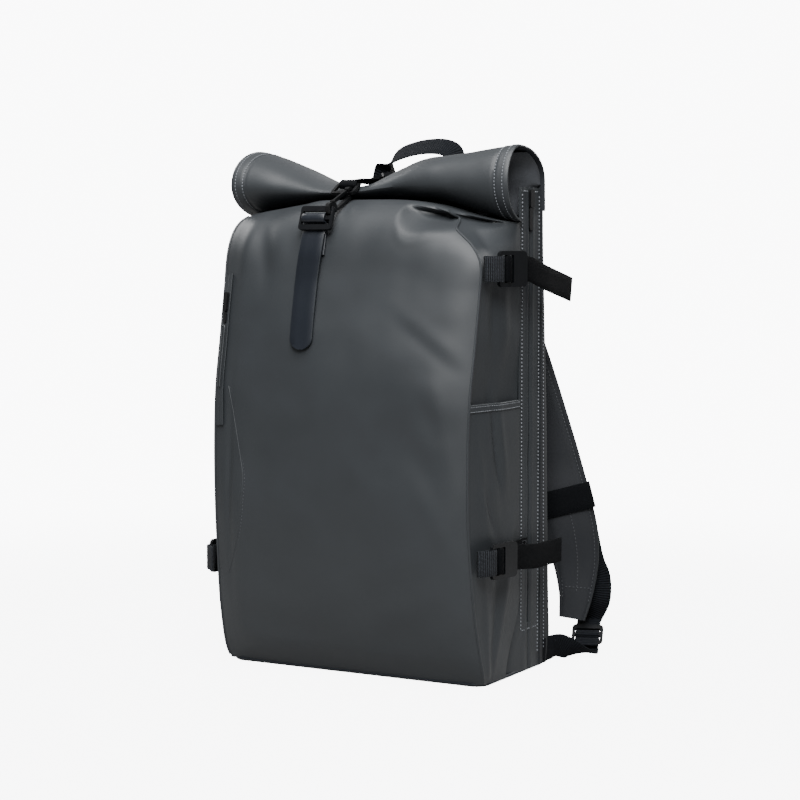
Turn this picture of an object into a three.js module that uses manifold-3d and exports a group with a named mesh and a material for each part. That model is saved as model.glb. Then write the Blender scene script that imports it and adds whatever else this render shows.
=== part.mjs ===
// Rolltop backpack, standing on its base with the top rolled forward and hooked shut.
// Millimetres. X points right seen from the front, Y points to the wearer's back, Z is up.
// The origin is the centre of the base.

import * as THREE from 'three';
import Module from 'manifold-3d';

const wasm = await Module();
wasm.setup();

// Main body
const BODY_WIDTH = 300;
const BODY_DEPTH = 154;
const BODY_HEIGHT = 480;
const WALL = 2.2;
const SEAM_GAP = 0.5;
const PANEL_CORNER = 8;

// Base
const BASE_THICK = 2.4;
const BASE_CORNER = 14;

// Back compartment with its zip at each side
const STRIP_WIDTH = 46;
const STRIP_AHEAD = 28;
const STRIP_RISE = 11;
const STRIP_TUCK = 30;
const TUCK_HEIGHT = 85;
const TUCK_DEPTH = 5;
const ZIP_AHEAD = 25;
const ZIP_SLIT = 3;
const ZIP_FOOT = 50;
const ZIP_TAPE = 22;
const ZIP_TAPE_THICK = 1;
const BACK_PAD = 9;
const BACK_DROP = 11;

// Roll at the top
const ROLL_WIDTH = 307;
const ROLL_RISE = 53;
const ROLL_DROP = 24;
const ROLL_REACH = 60;
const ROLL_RIDGE = 6;
const ROLL_STAND = 0.34;
const ROLL_TAIL = 2;
const ROLL_SEAT = 1;
const TUCK_REACH = 46;
const TUCK_RISE = 0.58;
const TUCK_SINK = 6;

// Side pockets
const POCKET_HEIGHT = 279;
const POCKET_SLACK = 6;

// Webbing and buckles
const WEB = 25;
const WEB_THICK = 1.4;
const RUN_GAP = 0.4;
const BUCKLE_LENGTH = 42;
const BUCKLE_HEIGHT = 35;
const BUCKLE_THICK = 3.4;
const BUCKLE_BAR = 4;
const BUCKLE_SLOT = 6;
const LOOP_SLOT = 7.5;

// Front strap and its slider
const STRAP_X = -34;
const STRAP_WIDTH = 26;
const STRAP_THICK = 2.4;
const STRAP_DROP = 130;
const STRAP_TUCK = 24;
const SLIDER_X = -27;
const SLIDER_STAND = 14;
const SLIDER_DROP = 20;
const SLIDER_LEAN = 20;
const SLIDER_WIDTH = 38;
const SLIDER_HEIGHT = 25;
const SLIDER_RAIL = 2.8;
const SLIDER_BAR = 4;
const SLIDER_SLOT = 5;

// Closure over the roll: ring, webbing, adjuster and hook
const RING_WIDTH = 27;
const RING_LENGTH = 19;
const RING_BAR = 3;
const RING_X = -21;
const RING_FORE = 50.5;
const RING_RISE = 10;
const RING_LEAN = 32;
const CLOSURE_WEB = 20;
const CLOSURE_BACK_X = 8;
const ADJUSTER_LENGTH = 30;
const ADJUSTER_Y = 2;
const ADJUSTER_BAR = 4;
const ADJUSTER_HEIGHT = 28;
const HOOK_THICK = 4.4;
const HOOK_WALL = 2.8;
const EYE_RADIUS = 3.8;
const MOUTH_RADIUS = 3.4;
const GATE_THICK = 2;
const PIN_RADIUS = 1;
const GATE_OPEN = 0.3;
const GATE_HALF = 1.9;

// Carrying straps
const HANDLE_WEB = 24;
const HANDLE_SPAN = 92;
const HANDLE_RISE = 57;
const HANDLE_SEWN = 28;
const HANDLE_SHIFT = 4;
const PAD_WIDTH = 52;
const PAD_THICK = 9;
const BACK_LEVEL = 0.72;
const BAND_HEIGHT = 28;
const BAND_ROW = 8;
const FOOT_ROW = 9;
const FOOT_LOCK_LENGTH = 28;
const FOOT_LOCK_HEIGHT = 33;
const FOOT_LOCK_TILT = 32;
const FOOT_LOCK_TURN = 20;
const FOOT_LOCK_OUT = 14;
const FOOT_LOCK_BACK = 64;
const FOOT_LOCK_Z = 20;
const ANCHOR_AHEAD = 21;
const ANCHOR_Z = 16;

// Zip sliders and pulls. below: middle of the slider under the zip's top; seat: how far the tape
// stands off its line
const ZIP_BODY = 3;
const ZIP_TAB = 1.4;
const SIDE_ZIP = { below: 11, width: 9, length: 18, tabWidth: 7, tab: 22, seat: 0 };
const FRONT_ZIP = { below: 29, width: 7, length: 20, tabWidth: 5, tab: 11, seat: ZIP_TAPE_THICK + RUN_GAP };
const FRONT_ZIP_INSET = 14;
const FRONT_ZIP_DROP = 76;
const FRONT_ZIP_LENGTH = 154;
const FRONT_ZIP_WIDE = 10;
const LOOP_THICK = 1.6;
const LOOP_SPREAD = 4.5;
const LOOP_LENGTH = 60;

const HALF_W = BODY_WIDTH / 2;
const HALF_D = BODY_DEPTH / 2;
const WALL_FOOT = BASE_THICK + 0.3;
const STRIP_TOP = BODY_HEIGHT + STRIP_RISE;
const BACK_TOP = BODY_HEIGHT - BACK_DROP;
const SLIDER_Z = BODY_HEIGHT - SLIDER_DROP;
const STRIP_REAR = HALF_D - STRIP_AHEAD;
const STRIP_FRONT = STRIP_REAR - STRIP_WIDTH;
const ZIP_LINE = STRIP_REAR - ZIP_AHEAD;
const ANCHOR_Y = HALF_D - ANCHOR_AHEAD;
const FRONT_ZIP_X = FRONT_ZIP_INSET - HALF_W;
const FRONT_ZIP_TOP = BODY_HEIGHT - FRONT_ZIP_DROP;

const coated = new THREE.MeshStandardMaterial({ color: 0x4a4f52, roughness: 0.62, metalness: 0 });
const padding = new THREE.MeshStandardMaterial({ color: 0x3f4447, roughness: 0.75, metalness: 0 });
const webbing = new THREE.MeshStandardMaterial({ color: 0x15161a, roughness: 0.85, metalness: 0 });
const moulded = new THREE.MeshStandardMaterial({ color: 0x17181b, roughness: 0.4, metalness: 0 });
const strapCoat = new THREE.MeshStandardMaterial({ color: 0x23262d, roughness: 0.5, metalness: 0 });
const metal = new THREE.MeshStandardMaterial({ color: 0x1b1c1f, roughness: 0.35, metalness: 0.8 });

const group = new THREE.Group();

function add(name, geometry, material) {
  const mesh = new THREE.Mesh(geometry, material);
  mesh.name = name;
  group.add(mesh);
  return mesh;
}

const V = (x, y, z) => new THREE.Vector3(x, y, z);
const lerp = (a, b, t) => a + (b - a) * t;
const clamp01 = (t) => Math.min(1, Math.max(0, t));
const smooth = (t) => clamp01(t) ** 2 * (3 - 2 * clamp01(t));
const hill = (t) => Math.sin(Math.PI * clamp01(t));
const steps = (n) => Array.from({ length: n + 1 }, (_, i) => i / n);

// Reads one column of a table at a place, along a smooth curve through its rows
function read(table, key, column, at) {
  let i = 0;
  while (i < table.length - 2 && at > table[i + 1][key]) i += 1;
  const a = table[i];
  const b = table[i + 1];
  const t = clamp01((at - a[key]) / (b[key] - a[key]));
  const before = table[Math.max(0, i - 1)];
  const after = table[Math.min(table.length - 1, i + 2)];
  const span = b[key] - a[key];
  const slopeA = ((b[column] - before[column]) / (b[key] - before[key])) * span;
  const slopeB = ((after[column] - a[column]) / (after[key] - a[key])) * span;
  const u = t * t;
  const w = u * t;
  return (2 * w - 3 * u + 1) * a[column] + (w - 2 * u + t) * slopeA
    + (3 * u - 2 * w) * b[column] + (w - u) * slopeB;
}

function columns(names, rows) {
  return rows.map((row) => Object.fromEntries(names.map((name, i) => [name, row[i]])));
}

// One closed body from two matching grids of points, an outer and an inner skin
function shell(outer, inner) {
  const rows = outer.length;
  const cols = outer[0].length;
  const points = [...outer.flat(), ...inner.flat()].flatMap((p) => [p.x, p.y, p.z]);
  const skin = rows * cols;
  const at = (r, c) => r * cols + c;
  const faces = [];
  const quad = (a, b, c, d) => faces.push(a, b, c, a, c, d);
  for (let r = 0; r < rows - 1; r += 1) {
    for (let c = 0; c < cols - 1; c += 1) {
      quad(at(r, c), at(r, c + 1), at(r + 1, c + 1), at(r + 1, c));
      quad(skin + at(r, c), skin + at(r + 1, c), skin + at(r + 1, c + 1), skin + at(r, c + 1));
    }
  }
  for (let c = 0; c < cols - 1; c += 1) {
    quad(at(0, c + 1), at(0, c), skin + at(0, c), skin + at(0, c + 1));
    quad(at(rows - 1, c), at(rows - 1, c + 1), skin + at(rows - 1, c + 1), skin + at(rows - 1, c));
  }
  for (let r = 0; r < rows - 1; r += 1) {
    quad(at(r, 0), at(r + 1, 0), skin + at(r + 1, 0), skin + at(r, 0));
    quad(at(r + 1, cols - 1), at(r, cols - 1), skin + at(r, cols - 1), skin + at(r + 1, cols - 1));
  }
  return outward(points, faces);
}

// Turns the faces over where the body's volume comes out negative
function outward(points, faces) {
  const p = (i) => V(points[3 * i], points[3 * i + 1], points[3 * i + 2]);
  let volume = 0;
  for (let i = 0; i < faces.length; i += 3) {
    volume += p(faces[i]).dot(p(faces[i + 1]).cross(p(faces[i + 2])));
  }
  const index = volume > 0 ? faces : faces.slice().reverse();
  const geometry = new THREE.BufferGeometry();
  geometry.setAttribute('position', new THREE.Float32BufferAttribute(points, 3));
  geometry.setIndex(index);
  geometry.computeVertexNormals();
  return geometry;
}

// A strap of rectangular section along a path; across gives its width direction at each point
function ribbon(path, across, width, thick) {
  const wideAt = typeof width === 'function' ? width : () => width;
  const skins = [-1, 1].map((side) => path.map((p, i) => {
    const before = path[Math.max(0, i - 1)];
    const after = path[Math.min(path.length - 1, i + 1)];
    const along = after.clone().sub(before).normalize();
    const wide = across(i / (path.length - 1)).clone();
    wide.addScaledVector(along, -wide.dot(along)).normalize();
    const up = wide.clone().cross(along).normalize();
    return [-1, 1].map((edge) => p.clone()
      .addScaledVector(wide, (edge * wideAt(i / (path.length - 1))) / 2)
      .addScaledVector(up, (side * thick) / 2));
  }));
  return shell(skins[1], skins[0]);
}

function curve(points, count) {
  return new THREE.CatmullRomCurve3(points, false, 'centripetal').getPoints(count);
}

// A flat plate with holes, extruded along its own Z and centred on its thickness
function plate(outline, holes, thick) {
  const shape = new THREE.Shape(outline);
  shape.holes.push(...holes.map((hole) => new THREE.Path(hole)));
  const geometry = new THREE.ExtrudeGeometry(shape, { depth: thick, bevelEnabled: false });
  return geometry.translate(0, 0, -thick / 2);
}

function roundBox(w, h, r, cx = 0, cy = 0) {
  const points = [];
  [[1, 1, 0], [-1, 1, 1], [-1, -1, 2], [1, -1, 3]].forEach(([sx, sy, turn]) => {
    steps(3).forEach((t) => {
      const a = ((turn + t) * Math.PI) / 2;
      const x = cx + sx * (w / 2 - r) + r * Math.cos(a);
      const y = cy + sy * (h / 2 - r) + r * Math.sin(a);
      points.push(new THREE.Vector2(x, y));
    });
  });
  return points;
}

function solid(geometry) {
  const bare = geometry.index ? geometry.toNonIndexed() : geometry;
  const keys = new Map();
  const points = [];
  const faces = [];
  const place = bare.attributes.position;
  for (let i = 0; i < place.count; i += 1) {
    const xyz = [place.getX(i), place.getY(i), place.getZ(i)];
    const key = xyz.map((v) => v.toFixed(4)).join();
    if (!keys.has(key)) {
      keys.set(key, points.length / 3);
      points.push(...xyz);
    }
    faces.push(keys.get(key));
  }
  const kept = [];
  for (let i = 0; i < faces.length; i += 3) {
    const [a, b, c] = faces.slice(i, i + 3);
    if (a !== b && b !== c && a !== c) kept.push(a, b, c);
  }
  return new wasm.Manifold(new wasm.Mesh({
    numProp: 3, vertProperties: new Float32Array(points), triVerts: new Uint32Array(kept),
  }));
}

function toGeometry(body) {
  const mesh = body.getMesh();
  const geometry = new THREE.BufferGeometry();
  geometry.setAttribute('position', new THREE.Float32BufferAttribute(mesh.vertProperties, 3));
  geometry.setIndex(Array.from(mesh.triVerts));
  geometry.computeVertexNormals();
  return geometry;
}

// Sections of the front panel and the side seams. up: share of the height under the roll;
// fore: seam's distance in front of the centre, of half the depth; right and left: seam's
// distance from the middle, of half the width; edge and belly: rounding at the seams and
// swell in the middle, of the depth; side: swell of the side panels, of the depth
const SECTIONS = columns(
  ['up', 'fore', 'right', 'left', 'edge', 'belly', 'side'],
  [
    [0.000, 0.942, 0.987, 0.987, 0.008, 0.000, 0.000],
    [0.025, 1.006, 1.000, 1.000, 0.020, 0.006, 0.005],
    [0.065, 1.090, 1.000, 0.997, 0.040, 0.020, 0.012],
    [0.145, 1.195, 0.990, 0.990, 0.052, 0.032, 0.020],
    [0.240, 1.273, 0.980, 0.980, 0.058, 0.039, 0.022],
    [0.358, 1.338, 0.973, 0.973, 0.058, 0.039, 0.026],
    [0.495, 1.350, 0.973, 0.973, 0.058, 0.039, 0.026],
    [0.622, 1.312, 0.977, 0.973, 0.065, 0.045, 0.020],
    [0.738, 1.195, 0.983, 0.973, 0.071, 0.052, 0.014],
    [0.845, 1.090, 0.987, 0.973, 0.065, 0.045, -0.006],
    [0.910, 1.040, 0.980, 0.970, 0.058, 0.039, 0.010],
    [0.944, 0.993, 0.907, 0.960, 0.045, 0.032, 0.016],
    [0.970, 0.909, 0.767, 0.950, 0.032, 0.020, 0.014],
    [0.988, 0.805, 0.693, 0.927, 0.013, 0.006, 0.008],
    [1.000, 0.649, 0.640, 0.893, 0.008, 0.000, 0.000],
  ],
);

// Sections of the roll. at: share of half its width; top, nose: height above the body of its
// ridge and of its foremost line, of the rise; reach: foremost line, of the reach; drop: its
// underside below the body's height, of the drop
const ROLL = columns(
  ['at', 'top', 'nose', 'reach', 'drop'],
  [
    [-1.00, 1.000, 0.283, 1.000, 0.750],
    [-0.88, 0.925, 0.264, 0.970, 0.580],
    [-0.68, 0.700, 0.226, 0.920, 0.375],
    [-0.46, 0.415, 0.150, 0.830, 0.167],
    [-0.33, 0.290, 0.130, 0.780, 0.020],
    [-0.18, 0.255, 0.120, 0.750, 0.000],
    [-0.03, 0.320, 0.150, 0.750, 0.000],
    [0.10, 0.490, 0.190, 0.750, 0.000],
    [0.32, 0.755, 0.245, 0.730, 0.040],
    [0.53, 0.840, 0.283, 0.700, 0.250],
    [0.70, 0.896, 0.300, 0.670, 0.580],
    [0.85, 0.953, 0.300, 0.630, 0.830],
    [1.00, 1.000, 0.300, 0.590, 1.000],
  ],
);

// Back of the bag. up: share of the back's height; back: its distance behind the centre, of
// half the depth
const BACK = columns(
  ['up', 'back'],
  [
    [0.000, 0.935],
    [0.020, 1.000],
    [0.050, 1.035],
    [0.130, 1.005],
    [0.360, 0.935],
    [0.580, 0.877],
    [0.780, 0.790],
    [0.920, 0.705],
    [1.000, 0.680],
  ],
);

const ROLL_BACK = HALF_D * BACK.at(-1).back + ROLL_STAND;

const rollAt = (column, x) => read(ROLL, 'at', column, (2 * x) / ROLL_WIDTH);
const topLine = (x) => BODY_HEIGHT - ROLL_DROP * rollAt('drop', x) - ROLL_SEAT;
const heightAt = (x, up) => WALL_FOOT + (topLine(x) - WALL_FOOT) * up;
const sectionAt = (column, up) => read(SECTIONS, 'up', column, up);

// Hollow that the fabric folds into under the roll, right of the middle
const FOLD_X = 0.6;
const FOLD_HALF = 0.26;
const FOLD_UP = 0.965;
const FOLD_TALL = 0.030;
const FOLD_DEEP = 17;

function foldDepth(x, up) {
  const across = (x / HALF_W - FOLD_X) / FOLD_HALF;
  const tall = (up - FOLD_UP) / FOLD_TALL;
  return FOLD_DEEP * Math.max(0, 1 - across ** 2) * Math.max(0, 1 - tall ** 2);
}

// Outer skin of the front panel; s runs from the left seam, -1, to the right seam, 1
function frontPoint(s, up, inset = 0) {
  const side = s < 0 ? 'left' : 'right';
  const half = HALF_W * sectionAt(side, up);
  const x = half * s;
  const edge = BODY_DEPTH * sectionAt('edge', up) * (1 - Math.abs(s) ** PANEL_CORNER);
  const belly = BODY_DEPTH * sectionAt('belly', up) * (1 - s * s);
  const turn = Math.abs(s) ** 6;
  const y = -HALF_D * sectionAt('fore', up) - edge - belly + foldDepth(x, up) * (1 - turn);
  return V(x - Math.sign(s) * inset * turn * 0.8, y + inset * (1 - 0.3 * turn), heightAt(x, up));
}

function frontPanel() {
  const across = [-1, -0.97, -0.9, -0.75, -0.5, -0.25, 0, 0.2, 0.35, 0.5, 0.65, 0.8, 0.93, 0.98, 1];
  const ups = SECTIONS.map((row) => row.up);
  const grid = (inset) => ups.map((up) => across.map((s) => frontPoint(s, up, inset)));
  return shell(grid(0), grid(WALL));
}

// Front edge of the side panel's seam with the back compartment; it tucks forward at the foot
const stripLine = (z) => STRIP_FRONT - STRIP_TUCK * (1 - smooth(z / TUCK_HEIGHT));

// Side skin between the front seam, t = 0, and the back compartment, t = 1, sunk by depth
function sidePoint(side, t, up, depth) {
  const half = HALF_W * sectionAt(side > 0 ? 'right' : 'left', up);
  const fore = -HALF_D * sectionAt('fore', up) + SEAM_GAP + depth * 1.1;
  const swell = BODY_DEPTH * sectionAt('side', up) * hill(t);
  const x = lerp(half, HALF_W, smooth(t * 1.15)) + swell - depth;
  const z = heightAt(side * lerp(half, HALF_W, smooth(t * 1.15)), up);
  return V(side * x, lerp(fore, stripLine(z) - SEAM_GAP / 2, t), z);
}

const upAt = (side, z) => (z - WALL_FOOT) / (topLine(side * HALF_W) - WALL_FOOT);
const sectionUps = (low, high) => SECTIONS.map((row) => row.up).filter((up) => up > low && up < high);

// How far the side panel lies inside the pocket that covers its lower part
function pocketInset(side, t, up) {
  const brim = upAt(side, POCKET_HEIGHT);
  const fade = 1 - smooth((up - brim - 0.01) / 0.16);
  const slack = POCKET_SLACK * hill(t) ** 0.7 * smooth(up / brim);
  return (WALL + SEAM_GAP + slack) * fade;
}

// Heights shared by the side panel, its pocket and the strip behind, so that their edges meet
function sideUps(side) {
  const tuck = upAt(side, TUCK_HEIGHT);
  return [0, ...sectionUps(0, tuck), tuck];
}

function sidePanel(side) {
  const brim = upAt(side, POCKET_HEIGHT);
  const tuck = upAt(side, TUCK_HEIGHT);
  const ups = [...sideUps(side), ...sectionUps(tuck, brim), brim, 0.68, ...sectionUps(0.68, 1), 1];
  const grid = (extra) => ups.map((up) => steps(7).map((t) => (
    sidePoint(side, t, up, pocketInset(side, t, up) + extra))));
  return shell(grid(0), grid(WALL));
}

function pocket(side) {
  const brim = upAt(side, POCKET_HEIGHT);
  const ups = [...sideUps(side), ...sectionUps(upAt(side, TUCK_HEIGHT), brim), brim];
  const grid = (extra) => ups.map((up) => steps(7).map((t) => sidePoint(side, t, up, extra)));
  return shell(grid(0), grid(WALL));
}

// The two flaps of the zipped strip, which meet below the zip
function stripFlap(side, front) {
  const low = sideUps(side).map((up) => heightAt(side * HALF_W, up));
  const middle = steps(4).map((t) => lerp(TUCK_HEIGHT, STRIP_TOP, t)).slice(1);
  const heights = [...low, ZIP_FOOT - 2, ZIP_FOOT + 2, ...middle].sort((a, b) => a - b);
  const grid = (depth) => heights.map((z) => {
    const slit = (z > ZIP_FOOT ? ZIP_SLIT : SEAM_GAP) / 2;
    const from = front ? stripLine(z) + SEAM_GAP / 2 : ZIP_LINE + slit;
    const to = front ? ZIP_LINE - slit : STRIP_REAR;
    return steps(2).map((t) => {
      const sink = front ? TUCK_DEPTH * (1 - smooth(z / TUCK_HEIGHT)) * (1 - t) ** 2 : 0;
      return V(side * (HALF_W - sink - depth), lerp(from, to, t), z);
    });
  });
  return shell(grid(0), grid(WALL));
}

function zipTape(side) {
  const centre = (ZIP_FOOT + STRIP_TOP) / 2;
  const box = new THREE.BoxGeometry(ZIP_TAPE_THICK, ZIP_TAPE, STRIP_TOP - ZIP_FOOT - 4);
  const x = HALF_W - WALL - SEAM_GAP - ZIP_TAPE_THICK / 2;
  return box.translate(side * x, ZIP_LINE, centre);
}

function backPanel() {
  const ups = BACK.map((row) => row.up);
  const across = [-1, -0.97, -0.93, -0.85, -0.6, -0.3, 0, 0.3, 0.6, 0.85, 0.93, 0.97, 1];
  const last = across.length - 1;
  const grid = (skin) => ups.map((up) => {
    const z = lerp(WALL_FOOT, BACK_TOP, up);
    const back = HALF_D * read(BACK, 'up', 'back', up);
    return across.map((s, i) => {
      const atSide = i === 0 || i === last;
      const crown = 4 * (1 - s * s) * hill(up);
      const side = Math.sign(s) * (HALF_W - skin * WALL);
      if (atSide) return V(side, STRIP_REAR + SEAM_GAP, z);
      const round = Math.abs(s) > 0.95 ? 1 : 0;
      const x = s * (HALF_W - skin * WALL) * (round ? 1.018 : 1);
      const pad = Math.abs(s) > 0.86 ? WALL : BACK_PAD * hill(0.12 + 0.76 * up) ** 0.3;
      const room = Math.min(pad, back - STRIP_REAR - SEAM_GAP - 0.6);
      const lip = round ? 0.25 * (back - STRIP_REAR) : 0;
      return V(x, back + crown - lip - skin * room * (round ? 0.5 : 1), z);
    });
  });
  return shell(grid(0), grid(1));
}

function basePanel() {
  const front = -HALF_D * SECTIONS[0].fore - 0.5;
  const back = HALF_D * BACK[0].back;
  const outline = roundBox(BODY_WIDTH * SECTIONS[0].right, back - front, BASE_CORNER, 0, (front + back) / 2);
  return plate(outline, [], BASE_THICK).translate(0, 0, BASE_THICK / 2);
}

// Section of the roll at x: up the back, over the ridge, down the front and back underneath
function rollSection(x, inset) {
  const top = BODY_HEIGHT + ROLL_RISE * rollAt('top', x) - inset;
  const nose = BODY_HEIGHT + ROLL_RISE * rollAt('nose', x);
  const reach = -ROLL_REACH * rollAt('reach', x) + inset;
  const under = BODY_HEIGHT - ROLL_DROP * rollAt('drop', x) + inset;
  const ridge = -ROLL_RIDGE;
  const back = ROLL_BACK - inset;
  const shoulder = lerp(BACK_TOP + 6, top, 0.42);
  const points = [V(x, back, BACK_TOP + SEAM_GAP), V(x, back, lerp(BACK_TOP, shoulder, 0.5))];
  const arc = (y0, z0, y1, z1, bend, n) => steps(n).forEach((t) => {
    const a = (t * Math.PI) / 2;
    points.push(V(x, lerp(y0, y1, bend ? Math.sin(a) : 1 - Math.cos(a)),
      lerp(z0, z1, bend ? 1 - Math.cos(a) : Math.sin(a))));
  });
  arc(back, shoulder, ridge, top, false, 4);
  points.pop();
  arc(ridge, top, reach, nose, true, 4);
  points.pop();
  arc(reach, nose, ROLL_TAIL, under, false, 4);
  return points;
}

function rollCollar() {
  const stations = ROLL.map((row) => (row.at * ROLL_WIDTH) / 2);
  const grid = (inset) => stations.map((x) => rollSection(x, inset));
  return shell(grid(0), grid(WALL));
}

// The side fabric that folds inwards inside each end of the roll, like a bellows
function rollTuck(side) {
  const mouth = side * (HALF_W - WALL - ZIP_TAPE_THICK - 2 * SEAM_GAP);
  const deep = side * (HALF_W - TUCK_REACH);
  const low = BODY_HEIGHT - TUCK_SINK;
  const high = BODY_HEIGHT + ROLL_RISE * TUCK_RISE;
  const fore = -ROLL_REACH * rollAt('reach', mouth) * 0.6;
  const grid = (thick) => steps(3).map((t) => {
    const rear = lerp(ROLL_TAIL + 6, ROLL_BACK - 14, smooth(t * 1.6));
    const z = lerp(low, high, t);
    return [
      V(mouth, rear - thick, z),
      V(lerp(mouth, deep, 0.5), lerp(rear, -ROLL_RIDGE, 0.55) - thick, z),
      V(deep + side * 1.8 * thick, -ROLL_RIDGE, z),
      V(lerp(mouth, deep, 0.5), lerp(fore, -ROLL_RIDGE, 0.4) + thick, z),
      V(mouth, fore + thick, z),
    ];
  });
  return shell(grid(0), grid(WALL));
}

// A ladder lock in its own XY plane: loop bar, middle bar, third bar and rounded grip
function ladderLock(length, height, web) {
  const nearBar = -length / 2;
  const slotStart = nearBar + BUCKLE_BAR;
  const middleBar = slotStart + LOOP_SLOT;
  const secondSlot = middleBar + BUCKLE_BAR;
  const thirdBar = secondSlot + BUCKLE_SLOT;
  const slot = (from, size) => roundBox(size, web + 2, 1, from + size / 2, 0).reverse();
  const holes = [slot(slotStart, LOOP_SLOT), slot(secondSlot, BUCKLE_SLOT)];
  const geometry = plate(roundBox(length, height, 5), holes, BUCKLE_THICK);
  return { geometry, nearBar, slotStart, middleBar, secondSlot, thirdBar };
}

// Distance of a strap's middle line from a buckle's middle plane where it lies on the plate
const REACH = BUCKLE_THICK / 2 + RUN_GAP + WEB_THICK / 2;

// The four side straps. height: of the body's height; seam: the front seam's distance before
// the centre, of half the depth; flare: how far the buckle's rear stands off, degrees; tail:
// the free end's length, of the buckle's; drop: how far the tail hangs, degrees; bulge: how far
// the loop stands out of its seam, of the webbing's width
const SIDE_STRAPS = columns(
  ['name', 'side', 'height', 'seam', 'flare', 'tail', 'drop', 'bulge'],
  [
    ['upper_right', 1, 0.854, 1.060, 14, 2.50, 12, 0],
    ['lower_right', 1, 0.262, 1.270, 9, 2.45, 3, 0],
    ['upper_left', -1, 0.854, 0.900, 4, 2.10, 12, 0],
    ['lower_left', -1, 0.226, 1.270, 2, 2.30, 3, 0.34],
  ],
);

function sideStrap(row) {
  const lock = ladderLock(BUCKLE_LENGTH, BUCKLE_HEIGHT, WEB);
  const z = row.height * BODY_HEIGHT;
  const up = (z - WALL_FOOT) / (topLine(row.side * HALF_W) - WALL_FOOT);
  const half = HALF_W * sectionAt(row.side > 0 ? 'right' : 'left', up);
  const swell = BODY_DEPTH * Math.max(0, sectionAt('side', up));
  const skin = Math.max(half, lerp(half, HALF_W, 0.55)) + swell + SEAM_GAP;
  const start = -HALF_D * row.seam + 3;
  const flare = THREE.MathUtils.degToRad(row.flare);
  const reachOut = BUCKLE_LENGTH / 2 + BUCKLE_BAR;
  const off = REACH * 2 + WEB_THICK + Math.sin(flare) * reachOut + row.bulge * WEB;
  const centreY = start + 14 + BUCKLE_LENGTH / 2;
  const at = (t, w) => V(
    row.side * (skin + off + t * Math.sin(flare) + w * Math.cos(flare)),
    centreY + t * Math.cos(flare) - w * Math.sin(flare),
    z,
  );
  const upright = () => V(0, 0, 1);
  const turn = REACH * 0.6;
  const loopLine = lock.slotStart + RUN_GAP + WEB_THICK;
  const seamAt = (layer) => V(row.side * (skin + 0.7 * WEB_THICK + layer), start - 2, z);
  const loop = [
    seamAt(0),
    at(lock.nearBar - 5, -REACH),
    at(loopLine - 1, -REACH),
    at(loopLine, -turn),
    at(loopLine, turn),
    at(loopLine - 1, REACH),
    at(lock.nearBar - 2, REACH),
    seamAt(WEB_THICK + 2 * RUN_GAP),
  ];
  add(`strap_loop_${row.name}`, ribbon(loop, upright, WEB, WEB_THICK), webbing);

  const basis = new THREE.Matrix4().makeBasis(
    V(row.side * Math.sin(flare), Math.cos(flare), 0),
    V(0, 0, row.side),
    V(row.side * Math.cos(flare), -Math.sin(flare), 0),
  );
  basis.setPosition(at(0, 0));
  add(`buckle_${row.name}`, lock.geometry.applyMatrix4(basis), moulded);

  const low = -REACH - WEB_THICK - RUN_GAP;
  const rear = at(BUCKLE_LENGTH / 2 + 6, -REACH);
  const inLine = lock.middleBar - RUN_GAP - WEB_THICK;
  const outLine = lock.secondSlot + RUN_GAP + WEB_THICK;
  const drop = THREE.MathUtils.degToRad(row.drop);
  const tail = row.tail * BUCKLE_LENGTH;
  const end = rear.clone().add(V(0, tail * Math.cos(drop), -tail * Math.sin(drop)));
  const seat = WEB_THICK / 2 + RUN_GAP;
  const path = [
    V(row.side * (HALF_W + seat), STRIP_FRONT + 14, z),
    V(row.side * (HALF_W + seat), STRIP_FRONT + 2, z),
    at(lock.middleBar + 2, low),
    at(inLine, low + 1.2),
    at(inLine, turn),
    at(inLine + 1, REACH),
    at(outLine - 1, REACH),
    at(outLine, turn),
    at(outLine, -turn),
    at(outLine + 1.4, -REACH),
    rear,
    rear.clone().lerp(end, 0.5),
    end,
  ];
  add(`strap_${row.name}`, ribbon(path, upright, WEB, WEB_THICK), webbing);
}

// Distance of the front panel's skin before the centre at a place
function frontY(x, z) {
  const up = clamp01((z - WALL_FOOT) / (topLine(x) - WALL_FOOT));
  return frontPoint(x / (HALF_W * sectionAt(x < 0 ? 'left' : 'right', up)), up).y;
}

// The coated strap: sewn to the panel, up through the slider and hanging down in front
const sliderLean = THREE.MathUtils.degToRad(SLIDER_LEAN);
const sliderAlong = V(0, Math.sin(sliderLean), Math.cos(sliderLean));
const sliderOut = V(0, -Math.cos(sliderLean), Math.sin(sliderLean));
const SLIDER_Y = frontY(SLIDER_X, SLIDER_Z) - SLIDER_STAND;
const sliderAt = (v, w, x = SLIDER_X) => V(x, SLIDER_Y, SLIDER_Z)
  .addScaledVector(sliderAlong, v).addScaledVector(sliderOut, w);
const SLIDER_TOP = SLIDER_BAR / 2 + SLIDER_SLOT;
const STRAP_SIDE = SLIDER_X - SLIDER_WIDTH / 2 + SLIDER_RAIL + 2 * RUN_GAP + STRAP_WIDTH / 2;
const HOOK_X = SLIDER_X + SLIDER_WIDTH / 2 - SLIDER_RAIL - RUN_GAP - HOOK_THICK / 2;

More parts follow.
